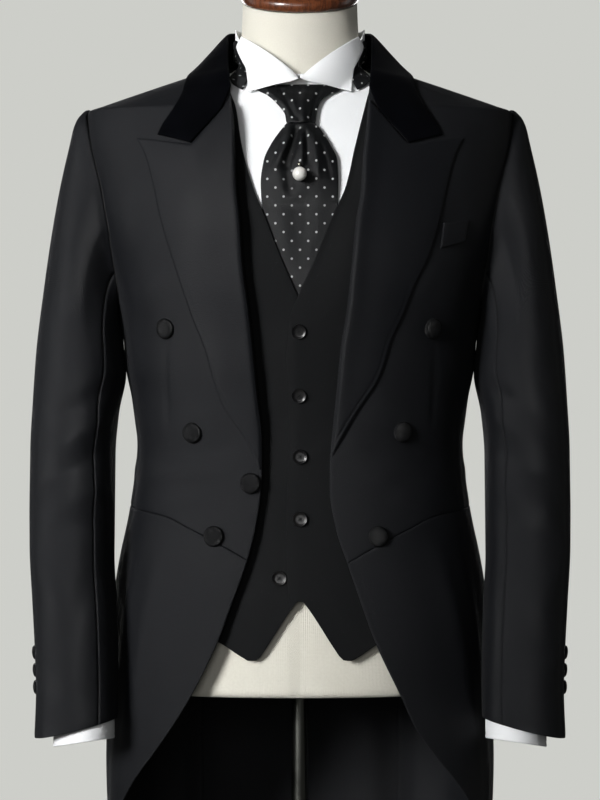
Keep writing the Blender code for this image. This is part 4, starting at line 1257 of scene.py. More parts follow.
@dataclass
class Shirt:
    """Front, back, collar stand and wings."""

    finishes: Finishes
    lift: float = 0.4
    cloth: float = 1.0
    bottom: float = 985.0
    yoke: float = 1412.0
    top: float = 1465.0
    body_rows: int = 66
    yoke_rows: int = 14
    ridge_gap: float = 0.12
    armhole_cut: float = 34.0
    stand_cloth: float = 1.4
    stand_foot: float = 1481.0
    stand_dip: float = 24.0
    stand_top: float = 1513.0
    stand_fall: float = 52.0
    ring: Triple = (66.0, 70.0, 66.0)
    wing_fold: tuple[Pair, Pair] = ((2.5, 1459.0), (57.0, 1501.0))
    wing_edge: tuple[Pair, Pair] = ((2.5, 1455.5), (51.0, 1444.0))
    wing_bow: float = 1.5
    wing_cloth: float = 1.0
    wing_seat: float = 3.0
    wing_flare: float = 6.5
    wing_spring: float = 9.0
    knot_room: float = 7.0
    creases: tuple[Crease, ...] = (
        Crease((-52, 1350), (-38, 1290), 4.0, 0.8),
        Crease((50, 1356), (36, 1280), 4.5, -0.7),
        Crease((-58, 1410), (-48, 1360), 3.5, 0.6),
        Crease((58, 1405), (50, 1350), 3.5, 0.6),
    )

    def build(self) -> None:
        """Builds every piece of the shirt but the cuffs, which the sleeves place."""
        self.build_body("shirt_front", 0.0, 90)
        self.build_body("shirt_back", 180.0, 64)
        self.build_stand()
        for side in Side:
            self.build_wing(side)

    def side_angle(self, z: Grid) -> Grid:
        """Angle of the side seam and armhole from the middle of a panel."""
        cut = self.armhole_cut * ease((z - 1215) / 90) * (1 - ease((z - 1395) / 40))
        return 90 - cut - self.ridge_gap

    def stand_low(self, angle: Grid) -> Grid:
        """Height of the lower edge of the neck pieces."""
        return self.stand_foot - self.stand_dip * ease((np.cos(np.radians(angle)) - 0.35) / 0.6)

    def stand_high(self, angle: Grid) -> Grid:
        """Height of the top edge of the collar stand, which drops to the front."""
        return self.stand_top - self.stand_fall * np.maximum(np.cos(np.radians(angle)), 0.0) ** 1.3

    def neck(self, angle: Grid, z: Grid, lift: float) -> Grid:
        """Points on the upright ring of the collar.

        Args:
            angle: angles from the front, in degrees.
            z: heights.
            lift: distances out from the surface.

        Returns:
            The points.
        """
        half, front, back = self.ring
        turn = np.radians(angle)
        depth = np.where(np.cos(turn) > 0, front, back) + lift
        return np.stack([(half + lift) * np.sin(turn), -depth * np.cos(turn), z], axis=-1)

    def build_body(self, name: str, facing: float, columns: int) -> None:
        """One half of the shirt's body.

        Args:
            name: the node that it replaces.
            facing: angle of its middle.
            columns: number of steps across.
        """
        low, high = self.body_rows, self.yoke_rows
        rows = np.concatenate([np.linspace(self.bottom, self.yoke, low), np.full(high, self.yoke)])
        climb = np.concatenate([np.zeros(low), np.linspace(1 / high, 1, high)])[:, None]
        shares = np.linspace(0, 1, columns + 1)[None, :]
        z = np.repeat(rows[:, None], columns + 1, axis=1)
        for _ in range(6):
            angle = mix(-self.side_angle(z), self.side_angle(z), shares)
            goal = np.minimum(self.stand_low(facing + angle) - 0.4, self.top)
            z = rows[:, None] + (goal - self.yoke) * climb
        angle = mix(-self.side_angle(z), self.side_angle(z), shares)
        x = FORM.point(z, facing + angle)[..., 0]
        folds = folded(self.creases, x, z) if facing == 0 else 0 * x
        folds = np.clip(folds, -0.2, 0.9) * ease((1440 - z) / 20)
        outer = FORM.out(z, facing + angle, self.lift + self.cloth + folds)
        item = cloth_wall(name + "_cloth", outer, self.cloth, FORM.normal(z, facing + angle))
        dress(item, self.finishes.shirt, "shirt_cotton", name)

    def build_stand(self) -> None:
        """The upright collar round the neck."""
        shares, turns = np.linspace(0, 1, 13), 0.5 + 359 * np.linspace(0, 1, 145)
        shares, angle = np.meshgrid(shares, turns, indexing="ij")
        z = mix(self.stand_low(angle), self.stand_high(angle), shares)
        outer = self.neck(angle, z, 0.0)
        out = self.neck(angle, z, 1.0) - outer
        item = cloth_wall("collar_band_cloth", outer, self.stand_cloth, unit(out))
        dress(item, self.finishes.shirt, "shirt_cotton", "collar_stand")

    def wing_point(self, side: Side, u: Grid, v: Grid, lift: float) -> Grid:
        """Points of a wing: u runs back along its fold and v down to its edge.

        Args:
            side: the wearer's side.
            u: shares across.
            v: shares up.
            lift: distances out from the surface.

        Returns:
            The points.
        """
        (front_x, front_z), (rear_x, rear_z) = self.wing_fold
        fold_x, fold_z = mix(front_x, rear_x, u), mix(front_z, rear_z, u**0.9)
        (front_x, front_z), (rear_x, rear_z) = self.wing_edge
        bow = self.wing_bow * np.sin(math.pi * u)
        edge_x, edge_z = mix(front_x, rear_x, u), mix(front_z, rear_z, u**0.7) + bow
        rear = WING_REAR.at(v) * u**4
        x, z = mix(fold_x, edge_x, v) + rear, mix(fold_z, edge_z, v)
        stands_off = self.wing_seat + self.wing_flare * v * u
        half, front, _ = self.ring
        reach = half + stands_off + lift
        round_share = np.sqrt(1 - np.minimum(x / (reach + 4), 0.98) ** 2)
        y = -(front + stands_off + lift + self.wing_spring * v * (1 - u)) * round_share
        over_knot = FORM.front(x, z, self.knot_room + lift)[..., 1]
        y = mix(y, np.minimum(y, over_knot), ease((1468 - z) / 14))
        return np.stack([side.value * x, y, z], axis=-1)

    def build_wing(self, side: Side) -> None:
        """One folded point of the collar, with its stitched edge.

        Args:
            side: the wearer's side.
        """
        v, u = np.meshgrid(fine_shares(16, 50, FINE_RIM), fine_shares(26, 60, FINE_RIM), indexing="ij")
        outer = self.wing_point(side, u, v, self.wing_cloth)
        inner = self.wing_point(side, u, v, 0.0)
        normals = unit(outer - inner)
        stitch = np.minimum(np.abs(v - 0.9) * 50, np.abs(u - 0.93) * 60)
        outer = outer - normals * (0.28 * bell(stitch, 0.8))[..., None]
        item = cloth_wall(f"wing_{side.word}_cloth", outer, self.wing_cloth, normals)
        dress(item, self.finishes.shirt, "shirt_cotton", f"wing_{side.word}")


@dataclass
class Ascot:
    """The neck band, the gathered upper part, the dotted blade and the pin."""

    finishes: Finishes
    shirt: Shirt
    seam: float = 0.3
    band_cloth: float = 1.8
    band_start: float = 43.0
    band_span: float = 274.0
    band_top: float = 1500.0
    band_drop: float = 15.0
    drop_start: float = 0.3
    band_seat: float = 3.4
    band_ease: float = 0.2
    blade_cloth: float = 1.4
    knot_cloth: float = 2.4
    # Height, x of the right and left edges, and how far the panel bulges forward.
    blade: Table = Table((
        (1234, -5.0, 5.0, 0.0),
        (1270, -24.0, 22.0, 0.2),
        (1300, -35.0, 34.0, 0.2),
        (1322, -36.5, 36.5, 0.1),
        (1350, -38.0, 37.0, 8.0),
        (1372, -35.0, 36.0, 11.0),
        (1388, -28.0, 29.0, 12.0),
        (1400, -20.0, 22.0, 12.0),
        (1409, -13.0, 15.0, 11.0),
    ))
    # The same columns as the blade's.
    knot: Table = Table((
        (1409, -12.8, 14.8, 11.0),
        (1417, -14.0, 15.5, 11.5),
        (1430, -23.0, 19.0, 11.0),
        (1438, -31.0, 27.0, 7.0),
        (1444, -42.0, 40.0, 3.0),
        (1449, -49.0, 46.0, 2.0),
    ))
    blade_folds: tuple[Crease, ...] = (
        Crease((-1, 1410), (-13, 1366), 5.0, -6.0),
        Crease((-13, 1372), (-9, 1338), 6.0, -4.0),
        Crease((-7, 1400), (-20, 1372), 2.4, 2.0),
        Crease((6, 1402), (8, 1368), 2.2, -3.0),
        Crease((1, 1400), (2, 1364), 2.2, 2.6),
        Crease((-9, 1403), (-26, 1356), 3.6, 1.8),
        Crease((14, 1400), (19, 1352), 3.4, 1.6),
        Crease((20, 1394), (31, 1352), 2.6, -1.0),
        Crease((-18, 1394), (-35, 1356), 2.2, -1.0),
        Crease((-22, 1336), (-8, 1262), 8.0, 0.9),
        Crease((20, 1340), (9, 1262), 9.0, 0.8),
        Crease((2, 1342), (0, 1290), 7.0, -0.7),
    )
    knot_folds: tuple[Crease, ...] = (
        Crease((0, 1407), (-22, 1448), 2.6, -1.9),
        Crease((-8, 1409), (-36, 1448), 2.8, 1.2),
        Crease((3, 1407), (4, 1448), 3.4, 1.5),
        Crease((9, 1408), (20, 1448), 2.4, -1.7),
        Crease((13, 1410), (33, 1448), 2.8, 1.1),
        Crease((-3, 1408), (-9, 1448), 2.2, 0.9),
    )
    sink: float = 5.5
    pearl_height: float = 1356.0
    pearl_radius: float = 7.1
    pearl_lift: float = 2.4
    bead_height: float = 1365.6
    bead_radius: float = 2.0

    def build(self) -> None:
        """Builds the band, the gathered part, the blade and the pin."""
        self.build_band()
        self.build_panel("ascot_knot", self.knot, self.knot_cloth, (1409.35, 1449), self.knot_folds, 30)
        self.build_panel("ascot_blade", self.blade, self.blade_cloth, (1234, 1409), self.blade_folds, 110)
        self.build_pin()

    def build_band(self) -> None:
        """The band under the collar's wings, with soft lengthwise folds."""
        shares = fine_shares(18, 34, (0.8, 1.8))[:, None]
        angle = (self.band_start + self.band_span * np.linspace(0, 1, 121))[None, :]
        angle, shares = np.broadcast_arrays(angle, shares)
        ripple = 0.4 * np.sin(shares * 15 + np.radians(angle) * 3.0) * np.sin(shares * math.pi)
        outer = self.band_point(angle, shares, self.band_cloth + ripple - 0.25)
        out = unit(outer - self.band_point(angle, shares, 0.0 * shares))
        item = cloth_wall("ascot_band_silk", outer, self.band_cloth - 0.5, out)
        dress(item, self.finishes.ascot, "ascot_silk", "ascot_band")

    def band_point(self, angle: Grid, v: Grid, lift: Grid) -> Grid:
        """Points of the neck band: v runs up from its lower edge, which rests on the shirt in front.

        Args:
            angle: angles from the front, in degrees.
            v: shares up.
            lift: distances out from the surface.

        Returns:
            The points.
        """
        ahead = np.maximum(np.cos(np.radians(angle)), 0)
        low = self.shirt.stand_low(angle) - 4 * ahead
        top = np.maximum(np.minimum(self.band_top, self.shirt.stand_high(angle) - 3), low + 12)
        drop = self.band_drop * ease((ahead - self.drop_start) / (1 - self.drop_start) * 2)
        z = mix(low - drop, top, v)
        p = self.shirt.neck(angle, z, self.seam + self.band_ease + lift)
        half, front, _, power = FORM.shape(z)
        reach = np.hypot(p[..., 0], p[..., 1])
        across, along = np.abs(p[..., 0] / reach / half), np.abs(p[..., 1] / reach / front)
        edge = (across**power + along**power) ** (-1 / power)
        slope = FORM.normal(z, FORM.angle_of(p[..., 0] / reach * edge, z))
        clear = edge + (self.band_seat + lift) / np.maximum(np.hypot(slope[..., 0], slope[..., 1]), 0.35)
        over = clear - reach
        soft = 0.5 * (over + np.sqrt(over**2 + 1.0)) - 0.1
        scale = np.where(p[..., 1] < 0, 1 + np.maximum(soft, 0) * ease(-p[..., 1] / 12) / reach, 1.0)
        p[..., :2] = p[..., :2] * scale[..., None]
        return p

    def at(self, table: Table, z: Grid, share: Grid, lift: Grid) -> Grid:
        """Points of a panel at shares of its width.

        Args:
            table: rows of the outline by height.
            z: heights.
            share: place between the two ends.
            lift: distances out from the surface.

        Returns:
            The points.
        """
        left, right, bulge = (table.at(z, i) for i in (1, 2, 3))
        points = FORM.front(mix(left, right, share), z, lift)
        crown = 1 - (2 * share - 1) ** 2
        points[..., 1] -= bulge * (0.4 + 0.6 * crown)
        return points

    def build_panel(
        self, name: str, table: Table, cloth: float, span: Pair, folds: tuple[Crease, ...], rows: int
    ) -> None:
        """A panel between its outlines, with its pleats and the painted shade in them.

        Args:
            name: the node that it replaces.
            table: the outlines by height.
            cloth: the wall's thickness.
            span: the lowest and highest heights.
            folds: the pleats on the front.
            rows: number of steps up.
        """
        share, z = np.meshgrid(fine_shares(44, 60, (0.8, 1.8)), np.linspace(*span, rows + 1))
        base = self.shirt.lift + self.shirt.cloth + self.seam
        x = mix(table.at(z, 1), table.at(z, 2), share)
        room = np.clip(table.at(z, 3) - 1.0, 0.3, self.sink)
        relief = np.clip(folded(folds, x, z), -room, 3.0)
        relief = relief * ease(share * 7) * ease((1 - share) * 7)
        outer = self.at(table, z, share, base + cloth + relief)
        out = outer - self.at(table, z, share, base + relief)
        uvs = np.stack([x, z], axis=-1) * MM
        item = cloth_wall(name + "_silk", outer, cloth * 0.9, unit(out), uvs=uvs)
        # Painted shade: each vertex stores how deep the silk sinks into its pleat, from 0 to 1, and the
        # finish darkens the silk by it in place of the shadow in the folds.
        pleat_shade = np.zeros(len(item.data.vertices), dtype=np.float32)
        pleat_shade[: relief.size] = np.clip(-relief / self.sink, 0, 1).ravel()
        item.data.attributes.new("pleat_shade", "FLOAT", "POINT").data.foreach_set("value", pleat_shade)
        dress(item, self.finishes.ascot, "ascot_silk", name)

    def build_pin(self) -> None:
        """The pearl and the small bead above it."""
        lift = self.shirt.lift + self.shirt.cloth + self.seam + self.blade_cloth + self.pearl_lift
        pearl = self.ball("pearl", (self.pearl_height, 0.5, lift), self.pearl_radius, 24, 40)
        dress(pearl, self.finishes.pearl, "pearl", "pearl_pin")
        bead = self.ball("pin_bead", (self.bead_height, 0.49, lift + 0.6), self.bead_radius, 12, 20)
        dress(bead, self.finishes.gold, "pearl")

    def ball(self, name: str, seat: Triple, radius: float, rings: int, sides: int) -> bpy.types.Object:
        """A ball that stands out from the blade.

        Args:
            name: the object's name.
            seat: height, share of the blade's width and distance out of its foot.
            radius: its radius.
            rings: number of steps from pole to pole.
            sides: number of sides.

        Returns:
            The new object.
        """
        turns = [n * math.pi / rings for n in range(1, rings)]
        profile = [(radius * math.sin(turn), radius - radius * math.cos(turn)) for turn in turns]
        height, share, lift = (np.array(value) for value in seat)
        foot = self.at(self.blade, height, share, lift)
        return turned(name, profile, sides, stand_up(Vector(foot), Vector((0, -1, 0.05))))


def join(name: str, items: Sequence[bpy.types.Object]) -> bpy.types.Object:
    """One object from several meshes, keeping their materials.

    Args:
        name: its name.
        items: the meshes to join.

    Returns:
        The joined object.
    """
    mesh = bpy.data.meshes.new(name)
    bm = bmesh.new()
    for slot, item in enumerate(items):
        start = len(bm.faces)
        bm.from_mesh(item.data)
        bm.faces.ensure_lookup_table()
        for face in bm.faces[start:]:
            face.material_index = slot
    bm.to_mesh(mesh)
    bm.free()
    for item in items:
        mesh.materials.append(item.data.materials[0] if item.data.materials else None)
    whole = bpy.data.objects.new(name, mesh)
    bpy.context.scene.collection.objects.link(whole)
    for item in items:
        bpy.data.objects.remove(item, do_unlink=True)
    return whole


@dataclass
class HornButton:
    """A four-hole button with a raised rim and its thread."""

    finishes: Finishes
    radius: float = 7.4
    hole: float = 0.75
    hole_reach: float = 1.7
    ring: int = 48
    thread_height: float = 2.15

    def build(self, name: str, node: str, place: Matrix) -> None:
        """One button with a dark lipped ring at each of its four holes, and crossed threads.

        Args:
            name: the piece's name.
            node: the node that it replaces.
            place: where its foot sits.
        """
        r = self.radius
        profile = [(r - 1.2, 0.0), (r - 0.4, 0.3), (r, 1.1), (r - 0.1, 2.0), (r - 0.7, 2.7), (r - 1.3, 2.6)]
        profile += [(r - 1.9, 2.0), (r - 3.0, 1.8), (self.hole_reach + self.hole + 0.6, 1.8)]
        disc = turned(name + "_rim", profile, self.ring, place)
        disc.data.materials.append(self.finishes.horn)
        parts = [disc]
        for k in range(4):
            angle = math.pi / 4 + k * math.pi / 2
            x, y = self.hole_reach * math.cos(angle), self.hole_reach * math.sin(angle)
            hole = self.hole
            lip = [(hole + 0.35, 1.78), (hole + 0.3, 1.95), (hole, 1.9), (hole - 0.1, 1.2)]
            spot = turned(f"{name}_hole_{k}", lip, 14, place @ Matrix.Translation((x, y, 0)))
            spot.data.materials.append(self.finishes.lining)
            parts.append(spot)
        for turn in (math.pi / 4, -math.pi / 4):
            run = self.hole_reach * 2.1
            profile = [(0.34, -run / 2), (0.46, -run / 4), (0.5, 0.0), (0.46, run / 4), (0.34, run / 2)]
            aside = Matrix.Rotation(turn, 4, "Z") @ Matrix.Rotation(math.pi / 2, 4, "X")
            lay = Matrix.Translation((0, 0, self.thread_height)) @ aside
            stitch = turned(f"{name}_stitch_{turn:.0f}", profile, 8, place @ lay)
            stitch.data.materials.append(self.finishes.thread)
            parts.append(stitch)
        whole = join(name, parts)
        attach(whole, "root")
        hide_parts(node)
        LOG.info("%s: %d faces", name, len(whole.data.polygons))


@dataclass
class CoveredButton:
    """A domed button covered with the coat's cloth, drawn in under its edge."""

    finishes: Finishes
    radius: float
    height: float
    gathers: int = 22
    gather_depth: float = 0.012

    def build(self, name: str, node: str, place: Matrix) -> None:
        """One button.

        Args:
            name: the piece's name.
            node: the node that it replaces.
            place: where its foot sits.
        """
        r, h = self.radius, self.height
        profile = [(r - 1.6, 0.0), (r - 0.7, 0.35), (r - 0.1, 1.0), (r, 1.7), (r - 0.25, 2.5)]
        for t in (0.18, 0.36, 0.54, 0.7, 0.84, 0.94):
            turn = t * math.pi / 2
            profile.append(((r - 0.25) * math.cos(turn), 2.5 + (h - 2.5) * math.sin(turn)))
        item = turned(name, profile, 2 * self.gathers, place)
        flip = place.inverted()
        for vertex in item.data.vertices:
            local = flip @ (vertex.co / MM)
            reach = math.hypot(local.x, local.y)
            fade = max(0.0, min((local.z - 0.2) / 1.0, 1.0)) * max(0.0, (reach / r - 0.75) / 0.25)
            angle = math.atan2(local.y, local.x)
            scale = 1 - self.gather_depth * fade * (1 + math.cos(angle * self.gathers))
            vertex.co = (place @ Vector((local.x * scale, local.y * scale, local.z))) * MM
        dress(item, self.finishes.button, "covered_button", node)


@dataclass
class Waistcoat:
    """Two fronts, the wearer's left over the right, the back and five buttons."""

    finishes: Finishes
    lift: float = 4.4
    overlap: float = 2.2
    cloth: float = 1.6
    ridge_gap: float = 0.12
    seam: float = 0.3
    slack: float = 0.7
    hem_top: float = 960.0
    shoulder: float = 1424.0
    top: float = 1463.0
    back_foot: float = 928.0
    back_shoulder: float = 1412.0
    back_columns: int = 81
    hole_start: float = -4.0
    hole_length: float = 12.0
    # Height, then x of the front edge of the wearer's right front and of the left one.
    edge: Table = Table((
        (876, 9.0, -3.0),
        (987, 9.0, -13.0),
        (1116, 9.0, -10.0),
        (1184, 9.0, -13.0),
        (1206, 8.0, -11.0),
        (1222, 4.5, -8.0),
        (1237, -2.0, -2.0),
        (1275, -18.5, 15.7),
        (1312, -33.0, 30.4),
        (1346, -47.0, 45.5),
        (1387, -58.0, 55.0),
        (1426, -64.5, 65.0),
        (1438, -68.7, 68.0),
        (1464, -76.0, 76.0),
    ))
    # Distance from the middle, then height of the hem.
    hem: Table = Table((
        (0, 941),
        (3, 937.5),
        (8, 931),
        (36, 887.5),
        (40, 882),
        (44, 880),
        (50, 880),
        (56, 883),
        (76, 896),
        (115, 914),
        (170, 928),
    ))
    # Height, then angle of the side seam and armhole.
    armhole: Table = Table((
        (870, 90.0),
        (1205, 90.0),
        (1235, 82.0),
        (1280, 68.0),
        (1330, 57.0),
        (1390, 50.0),
        (1425, 60.0),
        (1441, 90.0),
        (1464, 90.0),
    ))
    button_spots: tuple[Pair, ...] = ((-1, 1204), (-1, 1141), (0, 1080), (0, 1018), (-20, 960))
    folds: tuple[Crease, ...] = (
        Crease((6, 1140), (-42, 1112), 6.0, -0.8),
        Crease((4, 1078), (-52, 1096), 7.0, 0.7),
        Crease((6, 1018), (-46, 1040), 7.0, -0.8),
        Crease((2, 1200), (-38, 1170), 6.0, 0.7),
        Crease((-12, 960), (-58, 930), 8.0, 0.8),
        Crease((4, 1141), (40, 1120), 6.0, -0.7),
        Crease((6, 1080), (44, 1094), 7.0, 0.8),
        Crease((6, 1018), (50, 1000), 7.0, -0.8),
        Crease((14, 960), (52, 912), 8.0, 0.9),
        Crease((4, 1204), (38, 1230), 6.0, 0.6),
        Crease((-60, 1060), (-20, 1052), 5.0, -0.6),
        Crease((60, 1066), (22, 1050), 5.0, -0.6),
    )

    def build(self) -> None:
        """Builds both fronts, the back and the buttons."""
        for side in Side:
            self.build_front(side)
        self.build_back()
        maker = HornButton(self.finishes)
        for number, (x, z) in enumerate(self.button_spots, 1):
            side = Side.LEFT if number < len(self.button_spots) else Side.RIGHT
            height = np.array(float(z))
            angle = FORM.angle_of(np.array(float(x)), height)
            lift = self.lift_at(side, height, angle) + self.cloth + self.seam + self.slack * (z < 1100)
            place = stand_up(Vector(FORM.out(height, angle, lift)), Vector(FORM.normal(height, angle)))
            maker.build(f"vest_button_{number}", f"waistcoat_button_{number}", place)

    def lift_at(self, side: Side, z: Grid, angle: Grid) -> Grid:
        """How far a front's inner side stands off the form.

        Args:
            side: the wearer's side.
            z: heights.
            angle: angles from the front, in degrees.

        Returns:
            The distance at each point.
        """
        if side is Side.RIGHT:
            return np.full(np.shape(z), self.lift)
        x = FORM.point(z, angle)[..., 0]
        return self.lift + self.overlap * (1 - ease((x - 20) / 60)) * (1 - ease((z - 1260) / 60))

    def build_front(self, side: Side) -> None:
        """One front, with its pointed hem, soft drag lines, sewn edge and buttonholes.

        Args:
            side: the wearer's side.
        """
        column = 1 if side is Side.RIGHT else 2

        def inner(z: Grid) -> Grid:
            """Angle of the front edge."""
            return FORM.angle_of(self.edge.at(z, column), z) * side.value

        def outer(z: Grid) -> Grid:
            """Angle of the side seam or armhole."""
            return self.armhole.at(z) - self.ridge_gap

        shares = fine_shares(56, 230) ** 1.15
        hem = np.full(shares.shape, 920.0)
        for _ in range(6):
            angle = mix(inner(hem), outer(hem), shares)
            hem = self.hem.at(np.abs(FORM.point(hem, angle)[..., 0]))
        upper = levels((self.hem_top, self.shoulder, 94), (self.shoulder, self.top, 20))
        lower = mix(hem[None, :], self.hem_top, fine_shares(16, 80)[:-1, None])
        z = np.concatenate([lower, np.repeat(upper[:, None], len(shares), axis=1)])
        angle = side.value * mix(inner(z), outer(z), shares[None, :])
        x = FORM.point(z, angle)[..., 0]
        from_edge = np.abs(x - self.edge.at(z, column))
        relief = np.clip(folded(self.folds, x, z), -0.9, 1.3) * ease((1400 - z) / 60) * ease(from_edge / 14)
        relief = relief + stitched(from_edge, 4.5, 0.35, 0.9) * ease((1440 - z) / 9)
        if side is Side.LEFT:
            relief = relief + self.buttonholes(x, z)
        base = self.lift_at(side, z, angle)
        points = FORM.out(z, angle, base + self.cloth + relief)
        name = f"waistcoat_{side.word}_front"
        item = cloth_wall(name + "_cloth", points, self.cloth, FORM.normal(z, angle))
        dress(item, self.finishes.waistcoat, "waistcoat_wool", name)

    def buttonholes(self, x: Grid, z: Grid) -> Grid:
        """The raised purl round each buttonhole, with its slit.

        Args:
            x: places across.
            z: heights.

        Returns:
            How far the cloth moves out at each point.
        """
        total = np.zeros(x.shape)
        for bx, bz in self.button_spots[:4]:
            start = bx + self.hole_start
            along = np.clip((x - start) / self.hole_length, 0, 1)
            away = np.hypot(x - (start + self.hole_length * along), z - bz)
            total += 0.5 * bell(away - 1.0, 0.8) - 0.5 * bell(away, 0.6)
        return total

    def build_back(self) -> None:
        """The back, with its centre seam."""
        heights = levels((self.back_foot, self.back_shoulder, 80), (self.back_shoulder, self.top, 24))
        z = np.repeat(heights[:, None], self.back_columns, axis=1)
        side = 180 - self.armhole.at(z) + self.ridge_gap
        angle = mix(side, 360 - side, np.linspace(0, 1, self.back_columns)[None, :])
        seam = -0.5 * bell(angle - 180, 0.6)
        points = FORM.out(z, angle, self.lift + self.cloth + seam)
        item = cloth_wall("waistcoat_back_cloth", points, self.cloth, FORM.normal(z, angle))
        dress(item, self.finishes.waistcoat, "waistcoat_wool", "waistcoat_back")


def sunk_edges(points: Grid, depth: float = 0.6, reach: float = 1.1) -> Grid:
    """How far a panel's outer face dips towards its edges, which rounds them.

    Args:
        points: grid of points.
        depth: real depth of the relief, in metres.
        reach: how far in from the edge it fades.

    Returns:
        How far each point moves out.
    """
    across, up = lengths(points, 1), lengths(points, 0)
    near = np.minimum(np.minimum(across, across[:, -1:] - across), np.minimum(up, up[-1:] - up))
    return -depth * bell(near, reach)


def stitched(distance: Grid, inset: float, depth: float = 0.3, width: float = 0.8) -> Grid:
    """The groove of a row of stitches at an inset from an edge."""
    return -depth * bell(distance - inset, width)


@dataclass
class CoatBody:
    """Foreparts, side bodies, backs with their tails, and skirts."""

    finishes: Finishes
    cloth: float = 1.8
    seam: float = 0.3
    seam_deg: float = 0.06
    ridge_gap: float = 0.12
    underarm: float = 1234.0
    shoulder: float = 1430.0
    top: float = 1477.0
    bottom: float = 470.0
    side_front: float = 80.0
    tail_join: float = 560.0
    arc: float = 3.2
    low_join: float = 1066.0
    skirt_join: float = 945.0
    turn_over: float = 1424.0
    calm: float = 1420.0
    calm_reach: float = 30.0
    stitch_inset: float = 4.0
    roll_foot: float = 1075.0
    vent_top: float = 1030.0
    vent_inset: float = 5.0
    skirt_depth: Pair = (-3.0, 3.4)
    front_folds: tuple[Crease, ...] = (
        Crease((134, 1190), (132, 1112), 2.2, -1.1),
        Crease((60, 1092), (150, 1074), 9.0, -1.2),
        Crease((66, 1066), (156, 1058), 8.0, 1.1),
        Crease((70, 1128), (150, 1102), 12.0, 1.0),
        Crease((120, 1260), (168, 1226), 12.0, 1.2),
        Crease((150, 1330), (176, 1268), 9.0, -1.3),
        Crease((92, 1040), (140, 1030), 9.0, 0.9),
    )
    side_folds: tuple[Crease, ...] = (
        Crease((270, 1100), (400, 1072), 10.0, -1.2),
        Crease((262, 1068), (380, 1060), 9.0, 1.1),
        Crease((290, 1180), (370, 1120), 14.0, 1.2),
    )
    skirt_folds: tuple[Crease, ...] = (
        Crease((150, 1000), (210, 760), 17.0, 2.2),
        Crease((230, 1010), (276, 690), 20.0, -2.4),
        Crease((290, 1010), (322, 640), 18.0, 2.6),
        Crease((352, 1015), (372, 560), 20.0, -2.2),
        Crease((410, 1020), (428, 500), 18.0, 2.4),
        Crease((455, 980), (462, 480), 13.0, -1.8),
    )
    back_folds: tuple[Crease, ...] = (
        Crease((500, 1040), (500, 480), 18.0, 1.8),
        Crease((540, 1000), (536, 480), 16.0, -1.8),
        Crease((566, 1030), (562, 620), 10.0, 1.0),
        Crease((470, 1090), (560, 1072), 9.0, -1.3),
        Crease((455, 1062), (566, 1050), 9.0, 1.2),
        Crease((440, 1200), (540, 1240), 16.0, 1.2),
        Crease((400, 1330), (500, 1290), 16.0, -1.2),
        Crease((480, 1400), (560, 1380), 14.0, 1.0),
    )

    def build(self) -> None:
        """Builds the four panels of each side."""
        for side in Side:
            self.build_forepart(side)
            self.build_side_body(side)
            self.build_skirt(side)
            self.build_back(side)

    def edge_angle(self, z: Grid, side: Side) -> Grid:
        """Angle of the front edge, the roll line above it, or the tails' swept edge.

        Args:
            z: heights.
            side: the wearer's side.

        Returns:
            The angle at each height.
        """
        foot = FRONT_EDGE.rows[0][0]
        on_front = np.maximum(z, foot)
        front = np.abs(COAT.angle_of(FRONT_EDGE.at(on_front, 1 if side is Side.RIGHT else 2), on_front))
        step = front - TAIL_EDGE.at(np.array(float(foot)))
        tail = TAIL_EDGE.at(z) + step * ease((z - self.tail_join) / (foot - self.tail_join))
        return np.where(z < foot, tail, front)

    def outer_angle(self, z: Grid) -> Grid:
        """Angle of a forepart's side."""
        arm = np.where(z > self.underarm, ARMHOLE.at(z, 1) - self.ridge_gap, self.side_front - self.seam_deg)
        return np.where(z >= self.shoulder, 90 - self.ridge_gap, arm)

    def back_angle(self, z: Grid) -> Grid:
        """Angle of a back's side.

        Args:
            z: heights.

        Returns:
            The angle at each height.
        """
        low = SIDE_BACK_SEAM.at(z) + self.seam_deg
        arm = np.where(z > self.underarm, ARMHOLE.at(z, 2) + self.ridge_gap, low)
        return np.where(z >= self.shoulder, 90 + self.ridge_gap, arm)

    def seam_heights(
        self, inner: Callable[[Grid], Grid], outer: Callable[[Grid], Grid], shares: Grid, shift: float
    ) -> Grid:
        """Heights along the waist seam.

        Args:
            inner: angle of the panel's front side by height.
            outer: angle of its back side by height.
            shares: places across the panel.
            shift: how far above the seam's middle.

        Returns:
            A height for each place.
        """
        z = np.full(shares.shape, 1000.0)
        for _ in range(8):
            z = WAIST_SEAM.at(mix(inner(z), outer(z), shares)) + shift
        return z

    def panel(self, name: str, side: Side, z: Grid, angle: Grid, relief: Grid) -> None:
        """One panel from its grid of heights and angles.

        Args:
            name: the panel's short name.
            side: the wearer's side.
            z: heights.
            angle: angles without their sign.
            relief: folds and stitches.
        """
        plain = COAT.point(z, angle * side.value)
        normals = COAT.normal(z, angle * side.value)
        points = plain + normals * (relief + sunk_edges(plain))[..., None]
        node = f"coat_{side.word}_{name}"
        item = cloth_wall(node + "_cloth", points, self.cloth, normals, edge=Edge.RAW)
        dress(item, self.finishes.coat, "coat_wool", node)

    def build_forepart(self, side: Side) -> None:
        """A front panel from the waist seam to the shoulder.

        Args:
            side: the wearer's side.
        """
        shares = fine_shares(48, 190)

        def inner(z: Grid) -> Grid:
            """Angle of the front edge."""
            return self.edge_angle(z, side)

